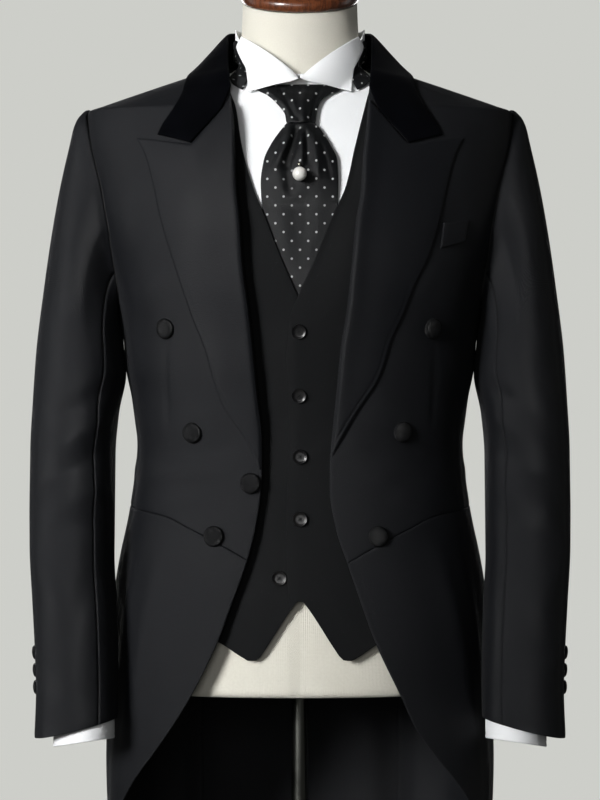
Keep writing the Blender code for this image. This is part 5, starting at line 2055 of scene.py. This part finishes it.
        seam = self.seam_heights(inner, self.outer_angle, shares, self.seam / 2)
        low = mix(seam[None, :], self.low_join, fine_shares(16, 70)[:-1, None])
        heights = levels((self.low_join, self.turn_over, 82), (self.turn_over, self.top, 34))
        z = np.concatenate([low, np.repeat(heights[:, None], len(shares), axis=1)])
        angle = mix(inner(z), self.outer_angle(z), shares[None, :])
        x = np.abs(COAT.point(z, angle)[..., 0])
        relief = folded(self.front_folds, x, z)
        from_edge = x - np.abs(FRONT_EDGE.at(z, 1 if side is Side.RIGHT else 2))
        relief = relief * ease(from_edge / 18) * ease((self.calm - z) / self.calm_reach)
        relief = relief + stitched(from_edge, self.stitch_inset) * ease((self.roll_foot - z) / 12)
        self.panel("forepart", side, z, angle, relief)

    def build_side_body(self, side: Side) -> None:
        """The panel under the arm.

        Args:
            side: the wearer's side.
        """
        shares = fine_shares(30, 200)

        def inner(z: Grid) -> Grid:
            """Angle of the seam to the forepart."""
            return np.full(np.shape(z), self.side_front + self.seam_deg)

        def outer(z: Grid) -> Grid:
            """Angle of the seam to the back."""
            return SIDE_BACK_SEAM.at(z) - self.seam_deg

        seam = self.seam_heights(inner, outer, shares, self.seam / 2)
        z = mix(seam[None, :], self.underarm, fine_shares(46, 210)[:, None])
        angle = mix(inner(z), outer(z), shares[None, :])
        relief = folded(self.side_folds, angle * self.arc, z)
        self.panel("side_body", side, z, angle, relief)

    def build_skirt(self, side: Side) -> None:
        """The skirt below the waist seam, cut away in front and swept back to the tail.

        Args:
            side: the wearer's side.
        """
        shares = fine_shares(90, 400)

        def inner(z: Grid) -> Grid:
            """Angle of the cutaway edge."""
            return self.edge_angle(z, side)

        def outer(z: Grid) -> Grid:
            """Angle of the seam to the back."""
            return SIDE_BACK_SEAM.at(z) - self.seam_deg

        seam = self.seam_heights(inner, outer, shares, -self.seam)
        heights = levels((self.bottom, self.skirt_join, 110))
        hem = [self.bottom + inset for inset in FINE_RIM]
        low = np.repeat(np.array([heights[0], *hem, *heights[1:]])[:, None], len(shares), axis=1)
        z = np.concatenate([low, mix(self.skirt_join, seam[None, :], fine_shares(18, 70)[1:, None])])
        angle = mix(inner(z), outer(z), shares[None, :])
        along = angle * self.arc
        from_edge = (angle - inner(z)) * self.arc
        fade = ease((seam[None, :] - z) / 60) * ease(from_edge / 40)
        relief = np.clip(folded(self.skirt_folds, along, z), *self.skirt_depth) * fade
        relief = relief + stitched(from_edge, self.stitch_inset)
        self.panel("skirt", side, z, angle, relief)

    def build_back(self, side: Side) -> None:
        """A back panel, which runs on into its tail.

        Args:
            side: the wearer's side.
        """
        shares = fine_shares(40, 110)
        hem = self.bottom + 2
        heights = levels((self.bottom, hem, 2), (hem, self.turn_over, 210), (self.turn_over, self.top, 34))
        z = np.repeat(heights[:, None], len(shares), axis=1)
        angle = mix(self.back_angle(z), 180 - self.seam_deg, shares[None, :])
        relief = folded(self.back_folds, angle * self.arc, z) * ease((self.calm - z) / self.calm_reach)
        vent = (180 - angle) * self.arc * 0.7
        relief = relief + stitched(vent, self.vent_inset) * ease((self.vent_top - z) / 10)
        self.panel("back", side, z, angle, relief)


@dataclass
class Lapels:
    """The peaked lapels, the velvet collar and the breast welt."""

    finishes: Finishes
    cloth: float = 2.0
    lift: float = 0.8
    roll: float = 2.5
    roll_width: float = 12.0
    roll_sink: float = 1.6
    belly: float = 0.9
    edge_depth: float = 0.9
    stitch_inset: float = 4.5
    top: float = 1432.0
    gorge: Pair = (107.0, 1388.0)
    neck_x: float = 68.0
    peak_x: float = 162.0
    collar_cloth: float = 2.2
    collar_lift: float = 1.1
    ground: Pair = (1380.0, 1477.0)
    pile_rise: float = 0.5
    welt_cloth: float = 1.6
    welt_lift: float = 0.3
    # Fold's x, y and height, then the outer edge's x and y, from the front to the middle of the back.
    collar_round: tuple[tuple[float, ...], ...] = (
        (69.4, -75.0, 1435.5, 117.0, -66.0),
        (70.5, -62.0, 1456.0, 114.5, -48.0),
        (72.0, -40.0, 1478.0, 112.5, -25.0),
        (72.8, -12.0, 1498.0, 111.0, 0.0),
        (73.0, 15.0, 1509.0, 107.0, 27.0),
        (66.0, 44.0, 1514.0, 95.0, 52.0),
        (45.0, 65.0, 1516.0, 75.0, 71.0),
        (24.0, 73.0, 1516.5, 42.0, 85.0),
        (0.0, 76.0, 1517.0, 0.0, 91.0),
    )
    # Fold's x and height, then the outer edge's x and height, up from the collar's front end.
    collar_front: tuple[tuple[float, ...], ...] = (
        (107.6, 1389.6, 140.5, 1398.5),
        (98.0, 1400.5, 135.5, 1409.0),
        (88.0, 1411.7, 129.0, 1419.0),
        (78.0, 1423.5, 122.5, 1429.5),
    )
    welt_top: tuple[Pair, ...] = ((141.4, 1310.8), (167.0, 1314.7))
    welt_bottom: tuple[Pair, ...] = ((138.5, 1286.0), (164.0, 1293.0))

    def build(self) -> None:
        """Builds both lapels, the collar and the welt."""
        for side in Side:
            self.build_lapel(side)
        self.build_collar()
        self.build_welt()

    @property
    def gorge_share(self) -> float:
        """How far along a lapel's top the gorge's notch lies."""
        return (self.gorge[0] - self.neck_x) / (self.peak_x - self.neck_x)

    def lapel_point(self, side: Side, u: Grid, v: Grid, lift: Grid) -> Grid:
        """Points of a lapel: u runs from the roll line to the edge, v from the foot to the peak.

        Args:
            side: the wearer's side.
            u: shares across.
            v: shares up.
            lift: distances out from the surface.

        Returns:
            The points.
        """
        outline = LAPEL_EDGE[side]
        foot, peak = outline.rows[0][0], outline.rows[-1][0]
        edge_z = mix(foot, peak, v)
        edge_x = outline.at(edge_z)
        roll_z = mix(foot, self.top, v)
        roll_x = np.abs(FRONT_EDGE.at(roll_z, 1 if side is Side.RIGHT else 2)) + 0.4
        x = mix(roll_x, edge_x, u)
        z = mix(roll_z, edge_z, u)
        share = self.gorge_share
        straight = mix(self.top, peak, share)
        dip = (self.gorge[1] - straight) * np.where(u < share, u / share, (1 - u) / (1 - share))
        z = z + dip * v**6
        rise = self.roll * bell(u * np.abs(edge_x - roll_x), self.roll_width) * ease(v * 5)
        return COAT.front(side.value * x, z, self.lift + lift + rise)

    def build_lapel(self, side: Side) -> None:
        """One lapel, softly rolled, with its stitched edge.

        Args:
            side: the wearer's side.
        """
        share = self.gorge_share
        ends = fine_shares(34, 90, WIDE_RIM)
        ends[np.argmin(np.abs(ends - share))] = share
        v, u = np.meshgrid(fine_shares(84, 360, WIDE_RIM), ends, indexing="ij")
        inner = self.lapel_point(side, u, v, 0.0 * u)
        outer = self.lapel_point(side, u, v, self.cloth + 0.0 * u)
        normals = unit(outer - inner)
        across, up = lengths(outer, 1), lengths(outer, 0)
        from_edge = np.minimum(across[:, -1:] - across, up[-1:] - up)
        near = np.minimum(from_edge, up)
        relief = -self.edge_depth * bell(near, 1.2) + stitched(from_edge, self.stitch_inset, 0.4, 0.9)
        relief = relief + self.belly * np.sin(u * math.pi) * np.sin(v * math.pi) ** 0.5
        relief = relief - self.roll_sink * bell(across, 1.6)
        points = outer + normals * relief[..., None]
        item = cloth_wall(f"lapel_{side.word}_cloth", points, self.cloth, normals, edge=Edge.RAW)
        dress(item, self.finishes.lapel, "coat_wool", f"lapel_{side.word}")

    def coat_height(self, x: float, y: float) -> Optional[float]:
        """Height of the coat's surface over a point of the shoulders.

        Args:
            x: place across.
            y: place front to back.

        Returns:
            The height, or nothing within the neck.
        """
        low, high = self.ground

        def inside(z: float) -> bool:
            """Whether the point lies within the coat's section."""
            half, front, back, power = (float(s) for s in COAT.shape(np.array(z)))
            return abs(x / half) ** power + abs(y / (front if y < 0 else back)) ** power < 1

        if inside(high):
            return None
        for _ in range(24):
            middle = (low + high) / 2
            low, high = (middle, high) if inside(middle) else (low, middle)
        return low

    def collar_grid(self) -> Grid:
        """Points of the collar's under side, from one front end round the neck to the other.

        Returns:
            The grid, with rows round the neck and columns down.
        """
        shares = np.linspace(0, 1, 5)
        lines = []
        for fold_x, fold_z, edge_x, edge_z in self.collar_front:
            x, z = mix(fold_x, edge_x, shares), mix(fold_z, edge_z, shares)
            lines.append(COAT.front(x, z, self.collar_lift))
        table = refined(np.array(self.collar_round)[:, None, :].repeat(2, axis=1), 2, 1)[:, 0]
        for fx, fy, fz, ex, ey in table:
            ez = (self.coat_height(ex, ey) or self.ground[1]) + self.collar_lift
            line = []
            for v in shares:
                p = np.array([mix(fx, ex, v), mix(fy, ey, v), mix(fz, ez, v)])
                p[:2] += p[:2] / np.hypot(p[0], p[1]) * 2.0 * math.sin(math.pi * v)
                ground = self.coat_height(p[0], p[1])
                if ground is not None:
                    p[2] = max(p[2], ground + self.collar_lift)
                line.append(p)
            lines.append(np.array(line))
        half = np.array(lines)
        mirrored = half[:-1] * np.array([-1.0, 1.0, 1.0])
        return np.concatenate([mirrored, half[::-1]])

    def build_collar(self) -> None:
        """The velvet collar, falling from its fold to the lapels' gorge."""
        fine = refined(self.collar_grid(), 5, 5)
        normals = turned_out(grid_normals(fine, False), fine - fine.reshape(-1, 3).mean(axis=0))
        across = lengths(fine, 1)
        near = np.minimum(across, across[:, -1:] - across)
        plump = self.collar_cloth + self.pile_rise * (1 - bell(near, 5.0)) - 0.6 * bell(near, 1.0)
        outer = fine + normals * plump[..., None]
        item = cloth_wall("velvet_collar_cloth", outer, self.collar_cloth, normals, edge=Edge.RAW)
        dress(item, self.finishes.velvet, "velvet", "velvet_collar")

    def build_welt(self) -> None:
        """The breast pocket's welt."""
        v, u = np.meshgrid(fine_shares(14, 24, FINE_RIM), fine_shares(14, 26, FINE_RIM), indexing="ij")
        (ax, az), (bx, bz) = self.welt_bottom
        (cx, cz), (dx, dz) = self.welt_top
        x = mix(mix(ax, bx, u), mix(cx, dx, u), v)
        z = mix(mix(az, bz, u), mix(cz, dz, u), v)
        outer = COAT.front(x, z, self.welt_lift + self.welt_cloth)
        normals = unit(outer - COAT.front(x, z, self.welt_lift))
        side_gap = np.minimum(lengths(outer, 1), lengths(outer, 1)[:, -1:] - lengths(outer, 1))
        relief = sunk_edges(outer, 0.5, 0.9) + stitched(side_gap, 1.6, 0.3, 0.6)
        points = outer + normals * relief[..., None]
        item = cloth_wall("breast_welt_cloth", points, self.welt_cloth, normals, edge=Edge.RAW)
        dress(item, self.finishes.coat, "coat_wool", "breast_welt")


@dataclass
class Sleeves:
    """Top and under sleeves, shirt cuffs and cuff buttons."""

    finishes: Finishes
    cloth: float = 1.6
    seam: float = 0.3
    sides: int = 100
    cap_rings: int = 26
    cap_roundness: float = 14.0
    cap_pull: Pair = (0.25, 0.52)
    arm_rings: int = 82
    hem_turn: float = 0.015
    armhole_lift: float = 0.55
    underarm_angles: Pair = (92.0, 104.0)
    ring_foot: float = 1235.5
    squareness: float = 0.94
    front_seam: float = 7 / 20
    back_seam: float = 14 / 20
    # Number, outer height and x, inner height and x, centre's y, and half depth of each section.
    stations: Table = Table((
        (0, 1238, 262, 1194, 180.0, -1, 72),
        (1, 1187, 268, 1162, 177.0, -5, 69),
        (2, 1136, 271, 1122, 184, -12, 66),
        (3, 1086, 273, 1080, 187, -20, 62),
        (4, 1036, 273, 1032, 187, -29, 60),
        (5, 984, 272, 982, 187, -38, 58),
        (6, 935, 268.5, 934, 184, -50, 55),
        (7, 886, 265, 888, 182, -62, 52),
        (8, 842, 263, 846, 181, -72, 49),
        (9, 801, 264, 821, 181, -80, 47),
    ))
    armhole_heights: tuple[float, ...] = (
        1430, 1427, 1424, 1419, 1414, 1407, 1400, 1392, 1385, 1370,
        1350, 1330, 1310, 1290, 1270, 1255, 1244, 1237, 1234,
    )
    button_heights: tuple[float, ...] = (883, 866, 849)
    button_turn: float = 19.3 / 20
    button_radius: float = 7.2
    button_height: float = 4.4
    button_gathers: int = 16
    cuff_foot: float = -9.0
    cuff_dip: float = 11.0
    cuff_swing: float = 4.0
    cuff_rise: float = 26.0
    cuff_cloth: float = 1.3
    cuff_clear: float = 1.2
    cuff_side: float = 19.0
    cuff_narrower: float = 6.0
    cuff_lean: float = 0.2
    cuff_sides: int = 96
    tape_depth: float = 3.4
    tape_cloth: float = 0.8
    tape_reaches: tuple[float, ...] = (-4.0, -2.0, 0.0, 2.0, 4.0, 6.0)
    rope: Triple = (2.6, 0.2, 0.13)
    dimple: Triple = (-0.5, 0.02, 0.06)
    gathers: Triple = (0.35, 0.06, 0.08)
    gather_count: int = 34
    fold_depth: float = 2.4
    vent_height: float = 903.0
    folds: tuple[Crease, ...] = (
        Crease((60, 1330), (66, 1200), 13.0, 1.8),
        Crease((92, 1310), (100, 1190), 11.0, -2.0),
        Crease((20, 1240), (76, 1170), 15.0, 1.3),
        Crease((128, 1150), (62, 1118), 9.0, -1.7),
        Crease((130, 1120), (52, 1080), 9.0, 1.8),
        Crease((132, 1086), (40, 1052), 9.0, -1.9),
        Crease((130, 1050), (48, 1024), 8.0, 1.6),
        Crease((128, 1018), (56, 1004), 8.0, -1.3),
        Crease((20, 1000), (70, 930), 14.0, 1.3),
        Crease((110, 960), (64, 890), 13.0, -1.3),
        Crease((30, 880), (84, 852), 12.0, 1.0),
        Crease((-60, 1150), (-120, 1080), 12.0, 1.6),
        Crease((-50, 1060), (-110, 1010), 12.0, -1.6),
        Crease((-60, 980), (-100, 900), 14.0, 1.2),
        Crease((-40, 1300), (-66, 1190), 14.0, 1.4),
    )

    def build(self) -> None:
        """Builds both sleeves with their cuffs and buttons."""
        for side in Side:
            self.build_sleeve(side)
            self.build_tape(side)
            self.build_cuff(side)
            for number, z in enumerate(self.button_heights, 1):
                self.build_button(side, number, z)

    def shoulder_rise(self, z: Grid) -> Grid:
        """How much more the armhole's ring stands up over the shoulder, by height."""
        return 0.9 * ease((z - 1400) / 25)

    def build_tape(self, side: Side) -> None:
        """The seam allowance inside the armhole, which closes the seam from behind.

        Args:
            side: the wearer's side.
        """
        ring = self.armhole(side)
        z = ring[:, 2]
        angle = np.degrees(np.arctan2(ring[:, 0], -ring[:, 1]))
        half, front, back, power = COAT.shape(z)
        depth = np.where(ring[:, 1] < 0, front, back)
        across = signed_power(np.sin(np.radians(angle)), power / 2) / half
        along = signed_power(np.cos(np.radians(angle)), power / 2) / depth
        out = unit(np.stack([across, -along, 0 * z], axis=-1))
        out[:, 2] = self.shoulder_rise(z)
        out = unit(out)
        away = np.array([side.value, 0.0, 0.0])
        outer = np.array([ring - out * self.tape_depth + away * reach for reach in self.tape_reaches])
        normals = np.broadcast_to(out, outer.shape)
        item = cloth_wall(
            f"armhole_tape_{side.word}", outer, self.tape_cloth, normals, closed=True, edge=Edge.RAW
        )
        dress(item, self.finishes.lining, "coat_wool")

    def station(self, at: Grid, turn: Grid, side: Side) -> Grid:
        """Points of the arm at station numbers and turns from the outside forward.

        Args:
            at: station numbers, 0 to 9.
            turn: turns from the outside forward, in radians.
            side: the wearer's side.

        Returns:
            The points.
        """
        outer_z, outer_x, inner_z, inner_x, centre_y, depth = (self.stations.at(at, i) for i in range(1, 7))
        share = (1 + np.cos(turn)) / 2
        x = mix(inner_x, outer_x, share)
        y = centre_y - depth * signed_power(np.sin(turn), self.squareness)
        return np.stack([side.value * x, y, mix(inner_z, outer_z, share)], axis=-1)

    def armhole(self, side: Side) -> Grid:
        """The armhole as evenly spaced points from the shoulder down the front and up the back.

        Args:
            side: the wearer's side.

        Returns:
            The points, one for each of the sleeve's columns.
        """
        heights = np.array(self.armhole_heights, float)
        foot = np.full(len(self.underarm_angles), heights[-1])
        z = np.maximum(np.concatenate([heights, foot, heights[:0:-1]]), self.ring_foot)
        behind = ARMHOLE.at(heights[:0:-1], 2)
        angle = np.concatenate([ARMHOLE.at(heights, 1), self.underarm_angles, behind])
        points = COAT.out(z, side.value * angle, self.armhole_lift + self.shoulder_rise(z))
        line = np.concatenate([points, points[:1]])
        along = np.concatenate([[0.0], np.cumsum(np.linalg.norm(np.diff(line, axis=0), axis=1))])
        at = np.linspace(0, along[-1], self.sides, endpoint=False)
        return np.stack([np.interp(at, along, line[:, i]) for i in range(3)], axis=-1)

    def surface(self, side: Side) -> tuple[Grid, Grid]:
        """The whole sleeve's outer points and the shares down its cap, 1 below it.

        Args:
            side: the wearer's side.

        Returns:
            The grid of points, and each ring's share.
        """
        turn = 2 * math.pi * np.arange(self.sides) / self.sides
        start = self.armhole(side)
        biceps = self.station(np.array(0.0), turn, side)
        below = self.station(np.array(1.0), turn, side)
        top = ((1 + np.cos(turn)) / 2)[:, None]
        reach = np.linalg.norm(biceps - start, axis=1, keepdims=True)
        away = np.concatenate([np.full_like(top, side.value), 0 * top, 0.2 * top - 0.1 * (1 - top)], axis=1)
        under = np.array([-0.15 * side.value, 0.0, -1.0])
        away = mix(away, under, ease((0.35 - top) / 0.35))
        b = start + away * np.minimum(self.cap_roundness, 0.3 * reach + 1)
        c = biceps + unit(biceps - below) * reach * mix(*self.cap_pull, top)
        rings = []
        shares = np.arange(self.cap_rings) / self.cap_rings
        for t in shares:
            near, far = start * (1 - t) ** 3 + b * 3 * t * (1 - t) ** 2, c * 3 * t * t * (1 - t)
            rings.append(near + far + biceps * t**3)
        last = len(self.stations.rows) - 1
        at = np.concatenate([np.linspace(0, last, self.arm_rings)[:-1], [last - self.hem_turn, last]])
        rings += [self.station(np.array(a), turn, side) for a in at]
        return np.array(rings), np.concatenate([shares, np.ones(len(at))])

    def relief(self, points: Grid, shares: Grid) -> Grid:
        """The roped head, the folds and the drawn-in gathers at the armhole.

        Args:
            points: grid of points.
            shares: share of each ring down the cap.

        Returns:
            How far each point moves out.
        """
        turn = 360 * np.arange(self.sides) / self.sides
        signed = np.where(turn > 180, turn - 360, turn)[None, :]
        z = points[..., 2]
        top = ((1 + np.cos(np.radians(signed))) / 2) ** 3
        share = shares[:, None]
        rope, dimple, gathers = (
            height * bell(share - middle, width)
            for height, middle, width in (self.rope, self.dimple, self.gathers)
        )
        gathers = gathers * np.cos(signed / 360 * 2 * math.pi * self.gather_count) * top
        wave = folded(self.folds, np.broadcast_to(signed * 0.9, z.shape), z)
        wave = np.clip(wave, -self.fold_depth, self.fold_depth)
        wave = wave * ease((share - 0.3) / 0.5) * ease((z - 815) / 40)
        return rope * top + dimple + gathers + wave

    def build_sleeve(self, side: Side) -> None:
        """Both parts of one sleeve, meeting at the front and back seams.

        Args:
            side: the wearer's side.
        """
        plain, shares = self.surface(side)
        normals = turned_out(grid_normals(plain, True), plain - plain.mean(axis=1, keepdims=True))
        relief = self.relief(plain, shares)
        count = self.sides
        front, back = round(self.front_seam * count), round(self.back_seam * count)
        picks = {"top_sleeve": range(back - count, front + 1), "under_sleeve": range(front, back + 1)}
        for piece, columns in picks.items():
            index = np.array(columns) % count
            grid, out, rise = plain[:, index].copy(), normals[:, index], relief[:, index]
            gap = self.seam / 2
            grid[:, 0] += unit(grid[:, 1] - grid[:, 0]) * gap
            grid[:, -1] += unit(grid[:, -2] - grid[:, -1]) * gap
            across, up = lengths(grid, 1), lengths(grid, 0)
            near = np.minimum(across, across[:, -1:] - across)
            from_hem = up[-1:] - up
            rise = rise - 0.15 * bell(near, 1.0) - 0.5 * bell(from_hem, 0.8)
            if piece == "top_sleeve":
                lap = ease((self.vent_height - grid[..., 2]) / 8) * (1 - ease((across - 1.2) / 2.0))
                rise = rise + 0.7 * lap
            points = grid + out * rise[..., None]
            node = f"coat_{side.word}_{piece}"
            item = cloth_wall(node + "_cloth", points, self.cloth, out, edge=Edge.RAW)
            dress(item, self.finishes.coat, "coat_wool", node)

    def build_cuff(self, side: Side) -> None:
        """The shirt cuff that shows below the sleeve, with its stitched edge.

        Args:
            side: the wearer's side.
        """
        shares = fine_shares(25, 40, FINE_RIM)[:, None]
        turn = 2 * math.pi * np.arange(self.cuff_sides) / self.cuff_sides
        turn = np.broadcast_to(turn, (len(shares), self.cuff_sides))
        share = (1 + np.cos(turn)) / 2
        foot = mix(self.cuff_foot - self.cuff_dip, self.cuff_foot, share) + self.cuff_swing * np.sin(turn)
        drop = mix(self.cuff_rise, foot, shares)
        outer_z, outer_x, inner_z, inner_x, centre_y, depth = self.stations.rows[-1][1:]
        clear = self.cloth + self.seam + self.cuff_clear + 0.02 * (drop - foot)
        x = mix(inner_x + clear, outer_x - self.cuff_side, share)
        half = depth - self.cuff_narrower
        y = centre_y + self.cuff_lean * drop - half * signed_power(np.sin(turn), self.squareness)
        z = mix(inner_z, outer_z, share) + drop
        outer = np.stack([side.value * x, y, z], axis=-1)
        normals = turned_out(grid_normals(outer, True), outer - outer.mean(axis=1, keepdims=True))
        points = outer + normals * stitched(drop - foot, 4.0)[..., None]
        item = cloth_wall(f"shirt_cuff_{side.word}_cloth", points, self.cuff_cloth, normals, closed=True)
        dress(item, self.finishes.shirt, "shirt_cotton", f"shirt_cuff_{side.word}")

    def build_button(self, side: Side, number: int, z: float) -> None:
        """A small covered button on the sleeve's outer back edge.

        Args:
            side: the wearer's side.
            number: its number from the top.
            z: its height.
        """
        heights = self.stations.curve(1)[1]
        at = np.interp(-z, -heights, np.arange(len(heights)))
        turn = np.array(2 * math.pi * self.button_turn)
        point = self.station(np.array(at), turn, side)
        ahead = self.station(np.array(at), turn + 0.05, side) - point
        below = self.station(np.array(at + 0.05), turn, side) - point
        out = unit(np.cross(ahead, below))
        out = out if out[0] * side.value > 0 else -out
        maker = CoveredButton(self.finishes, self.button_radius, self.button_height, self.button_gathers)
        place = stand_up(Vector(point + out * 0.3), Vector(out))
        maker.build(f"sleeve_button_{side.word}_{number}", f"cuff_button_{side.word}_{number}", place)


@dataclass
class FrontButtons:
    """The covered buttons on the coat's fronts."""

    finishes: Finishes
    radius: float = 10.5
    height: float = 5.8
    spots: dict[Side, tuple[Triple, ...]] = field(
        default_factory=lambda: {
            Side.RIGHT: (
                (-132.6, 1206.7, 0.3),
                (-106.0, 1103.6, 0.5),
                (-84.5, 1001.5, 0.7),
                (-48.5, 1054.0, 0.9),
            ),
            Side.LEFT: ((130.6, 1206.7, 0.3), (101.0, 1104.6, 0.5), (76.6, 1001.5, 0.8)),
        }
    )

    def build(self) -> None:
        """Builds every button."""
        maker = CoveredButton(self.finishes, self.radius, self.height)
        for side, spots in self.spots.items():
            for number, (x, z, lift) in enumerate(spots, 1):
                height = np.array(z)
                angle = COAT.angle_of(np.array(x), height)
                point = Vector(COAT.out(height, angle, np.array(lift)))
                place = stand_up(point, Vector(COAT.normal(height, angle)))
                label = f"button_{side.word}_{number}"
                maker.build("front_" + label, "coat_" + label, place)


@dataclass(frozen=True)
class Lamp:
    """An area light: where it stands, what it faces, its size and its power."""

    name: str
    place: Triple
    target: Triple
    width: float
    height: float
    power: float
    spread: float = 180.0

    def build(self) -> None:
        """Adds the light."""
        data = bpy.data.lights.new(self.name, "AREA")
        data.shape = "RECTANGLE"
        data.size, data.size_y = self.width, self.height
        data.energy = self.power
        data.spread = math.radians(self.spread)
        item = bpy.data.objects.new(self.name, data)
        bpy.context.scene.collection.objects.link(item)
        item.location = self.place
        item.rotation_euler = (Vector(self.target) - Vector(self.place)).to_track_quat("-Z", "Y").to_euler()


@dataclass
class Studio:
    """The pale floor, the soft lamps, the backdrop's light and the camera."""

    pale: Colour = srgb(205, 206, 201)
    ambient: float = 0.075
    floor_radius: float = 14.0
    floor_rings: tuple[float, ...] = (0.4, 1.2, 2.4, 4.5, 8.0)
    floor_sides: int = 96
    floor_height: float = -0.6
    floor_fade: Pair = (0.4, 3.2)
    floor_patch: float = 0.5
    floor_rough: float = 0.8
    floor_shade: Colour = srgb(198, 199, 194)
    lens: float = 141.2
    distance: float = 3.2
    eye: float = 1.136
    lamps: tuple[Lamp, ...] = (
        Lamp("key", (-2.35, -2.8, 2.1), (-0.42, 0.0, 1.3), 1.2, 1.6, 11.0, 30.0),
        Lamp("front", (-0.4, -4.2, 1.7), (0.0, 0.0, 1.15), 1.2, 1.2, 17.0),
        Lamp("left", (-3.4, 1.0, 1.8), (0.0, 0.0, 1.1), 1.0, 1.8, 5.0),
        Lamp("right", (3.4, 0.8, 1.8), (0.0, 0.0, 1.1), 1.0, 1.8, 4.0),
        Lamp("back", (-1.0, 4.2, 2.0), (0.0, 0.0, 1.0), 1.8, 1.8, 13.0, 70.0),
        Lamp("back_right", (1.2, 4.2, 1.6), (0.0, 0.0, 1.0), 1.4, 1.4, 4.0, 70.0),
    )

    def build(self) -> None:
        """Builds the stage."""
        self.build_floor()
        self.build_world()
        for lamp in self.lamps:
            lamp.build()
        self.build_camera()

    def build_floor(self) -> None:
        """A wide floor that fades into the backdrop's tone far from the stand."""
        angles = np.linspace(0, 2 * math.pi, self.floor_sides, endpoint=False)
        rings = np.array([*self.floor_rings, self.floor_radius]) / MM
        points = [[r * math.cos(a), r * math.sin(a), self.floor_height] for r in rings for a in angles]
        faces = [list(range(self.floor_sides)), *quads(len(rings), self.floor_sides, True)]
        floor = new_object("studio_floor", np.array(points), faces)
        material, g, shader = new_material("studio_floor_paint")
        place = g.add("ShaderNodeTexCoord").outputs["Object"]
        away = g.add("ShaderNodeVectorMath", operation="LENGTH")
        g.feed(away.inputs[0], place)
        fade = g.ramp(away.outputs["Value"], *self.floor_fade, 0.62, 1.0)
        cloud = g.group(cloud_group(), Vector=place, Size=self.floor_patch)
        tone = g.math("MULTIPLY", cloud.outputs["Tone"], 0.15)
        g.feed(shader.inputs["Base Color"], g.blend(tone, self.pale, self.floor_shade))
        shader.inputs["Roughness"].default_value = self.floor_rough
        glow = g.add("ShaderNodeEmission")
        glow.inputs["Color"].default_value = self.pale
        seen = g.add("ShaderNodeLightPath").outputs["Is Camera Ray"]
        g.feed(glow.inputs["Strength"], g.ramp(seen, 0.0, 1.0, self.ambient, 1.0))
        both = g.add("ShaderNodeMixShader")
        g.feed(both.inputs[0], fade)
        g.feed(both.inputs[1], shader.outputs[0])
        g.feed(both.inputs[2], glow.outputs[0])
        output = next(n for n in material.node_tree.nodes if n.type == "OUTPUT_MATERIAL")
        g.feed(output.inputs["Surface"], both.outputs[0])
        floor.data.materials.append(material)

    def build_world(self) -> None:
        """The backdrop's tone for the camera, and a dim even light for all else."""
        scene = bpy.context.scene
        scene.world = scene.world or bpy.data.worlds.new("studio")
        scene.world.use_nodes = True
        g = Graph(scene.world.node_tree)
        back = next(n for n in scene.world.node_tree.nodes if n.type == "BACKGROUND")
        back.inputs["Color"].default_value = self.pale
        seen = g.add("ShaderNodeLightPath").outputs["Is Camera Ray"]
        g.feed(back.inputs["Strength"], g.ramp(seen, 0.0, 1.0, self.ambient, 1.0))
        scene.view_settings.view_transform = "Standard"

    def build_camera(self) -> None:
        """The camera, level with the waistcoat's top buttons."""
        data = bpy.data.cameras.new("camera")
        data.lens = self.lens
        data.sensor_width = 36.0
        data.clip_end = 60.0
        item = bpy.data.objects.new("camera", data)
        bpy.context.scene.collection.objects.link(item)
        item.location = (0.0, -self.distance, self.eye)
        item.rotation_euler = (math.radians(90), 0.0, 0.0)
        bpy.context.scene.camera = item


def main() -> None:
    """Builds the whole scene."""
    logging.basicConfig(level=logging.INFO, format="%(name)s %(message)s", stream=sys.stdout)
    finishes = Finishes()
    shirt = Shirt(finishes)
    for part in (
        Studio(),
        DressForm(finishes),
        shirt,
        Ascot(finishes, shirt),
        Waistcoat(finishes),
        CoatBody(finishes),
        Lapels(finishes),
        Sleeves(finishes),
        FrontButtons(finishes),
    ):
        part.build()
        LOG.info("built %s", type(part).__name__)


if __name__ == "__main__":
    main()
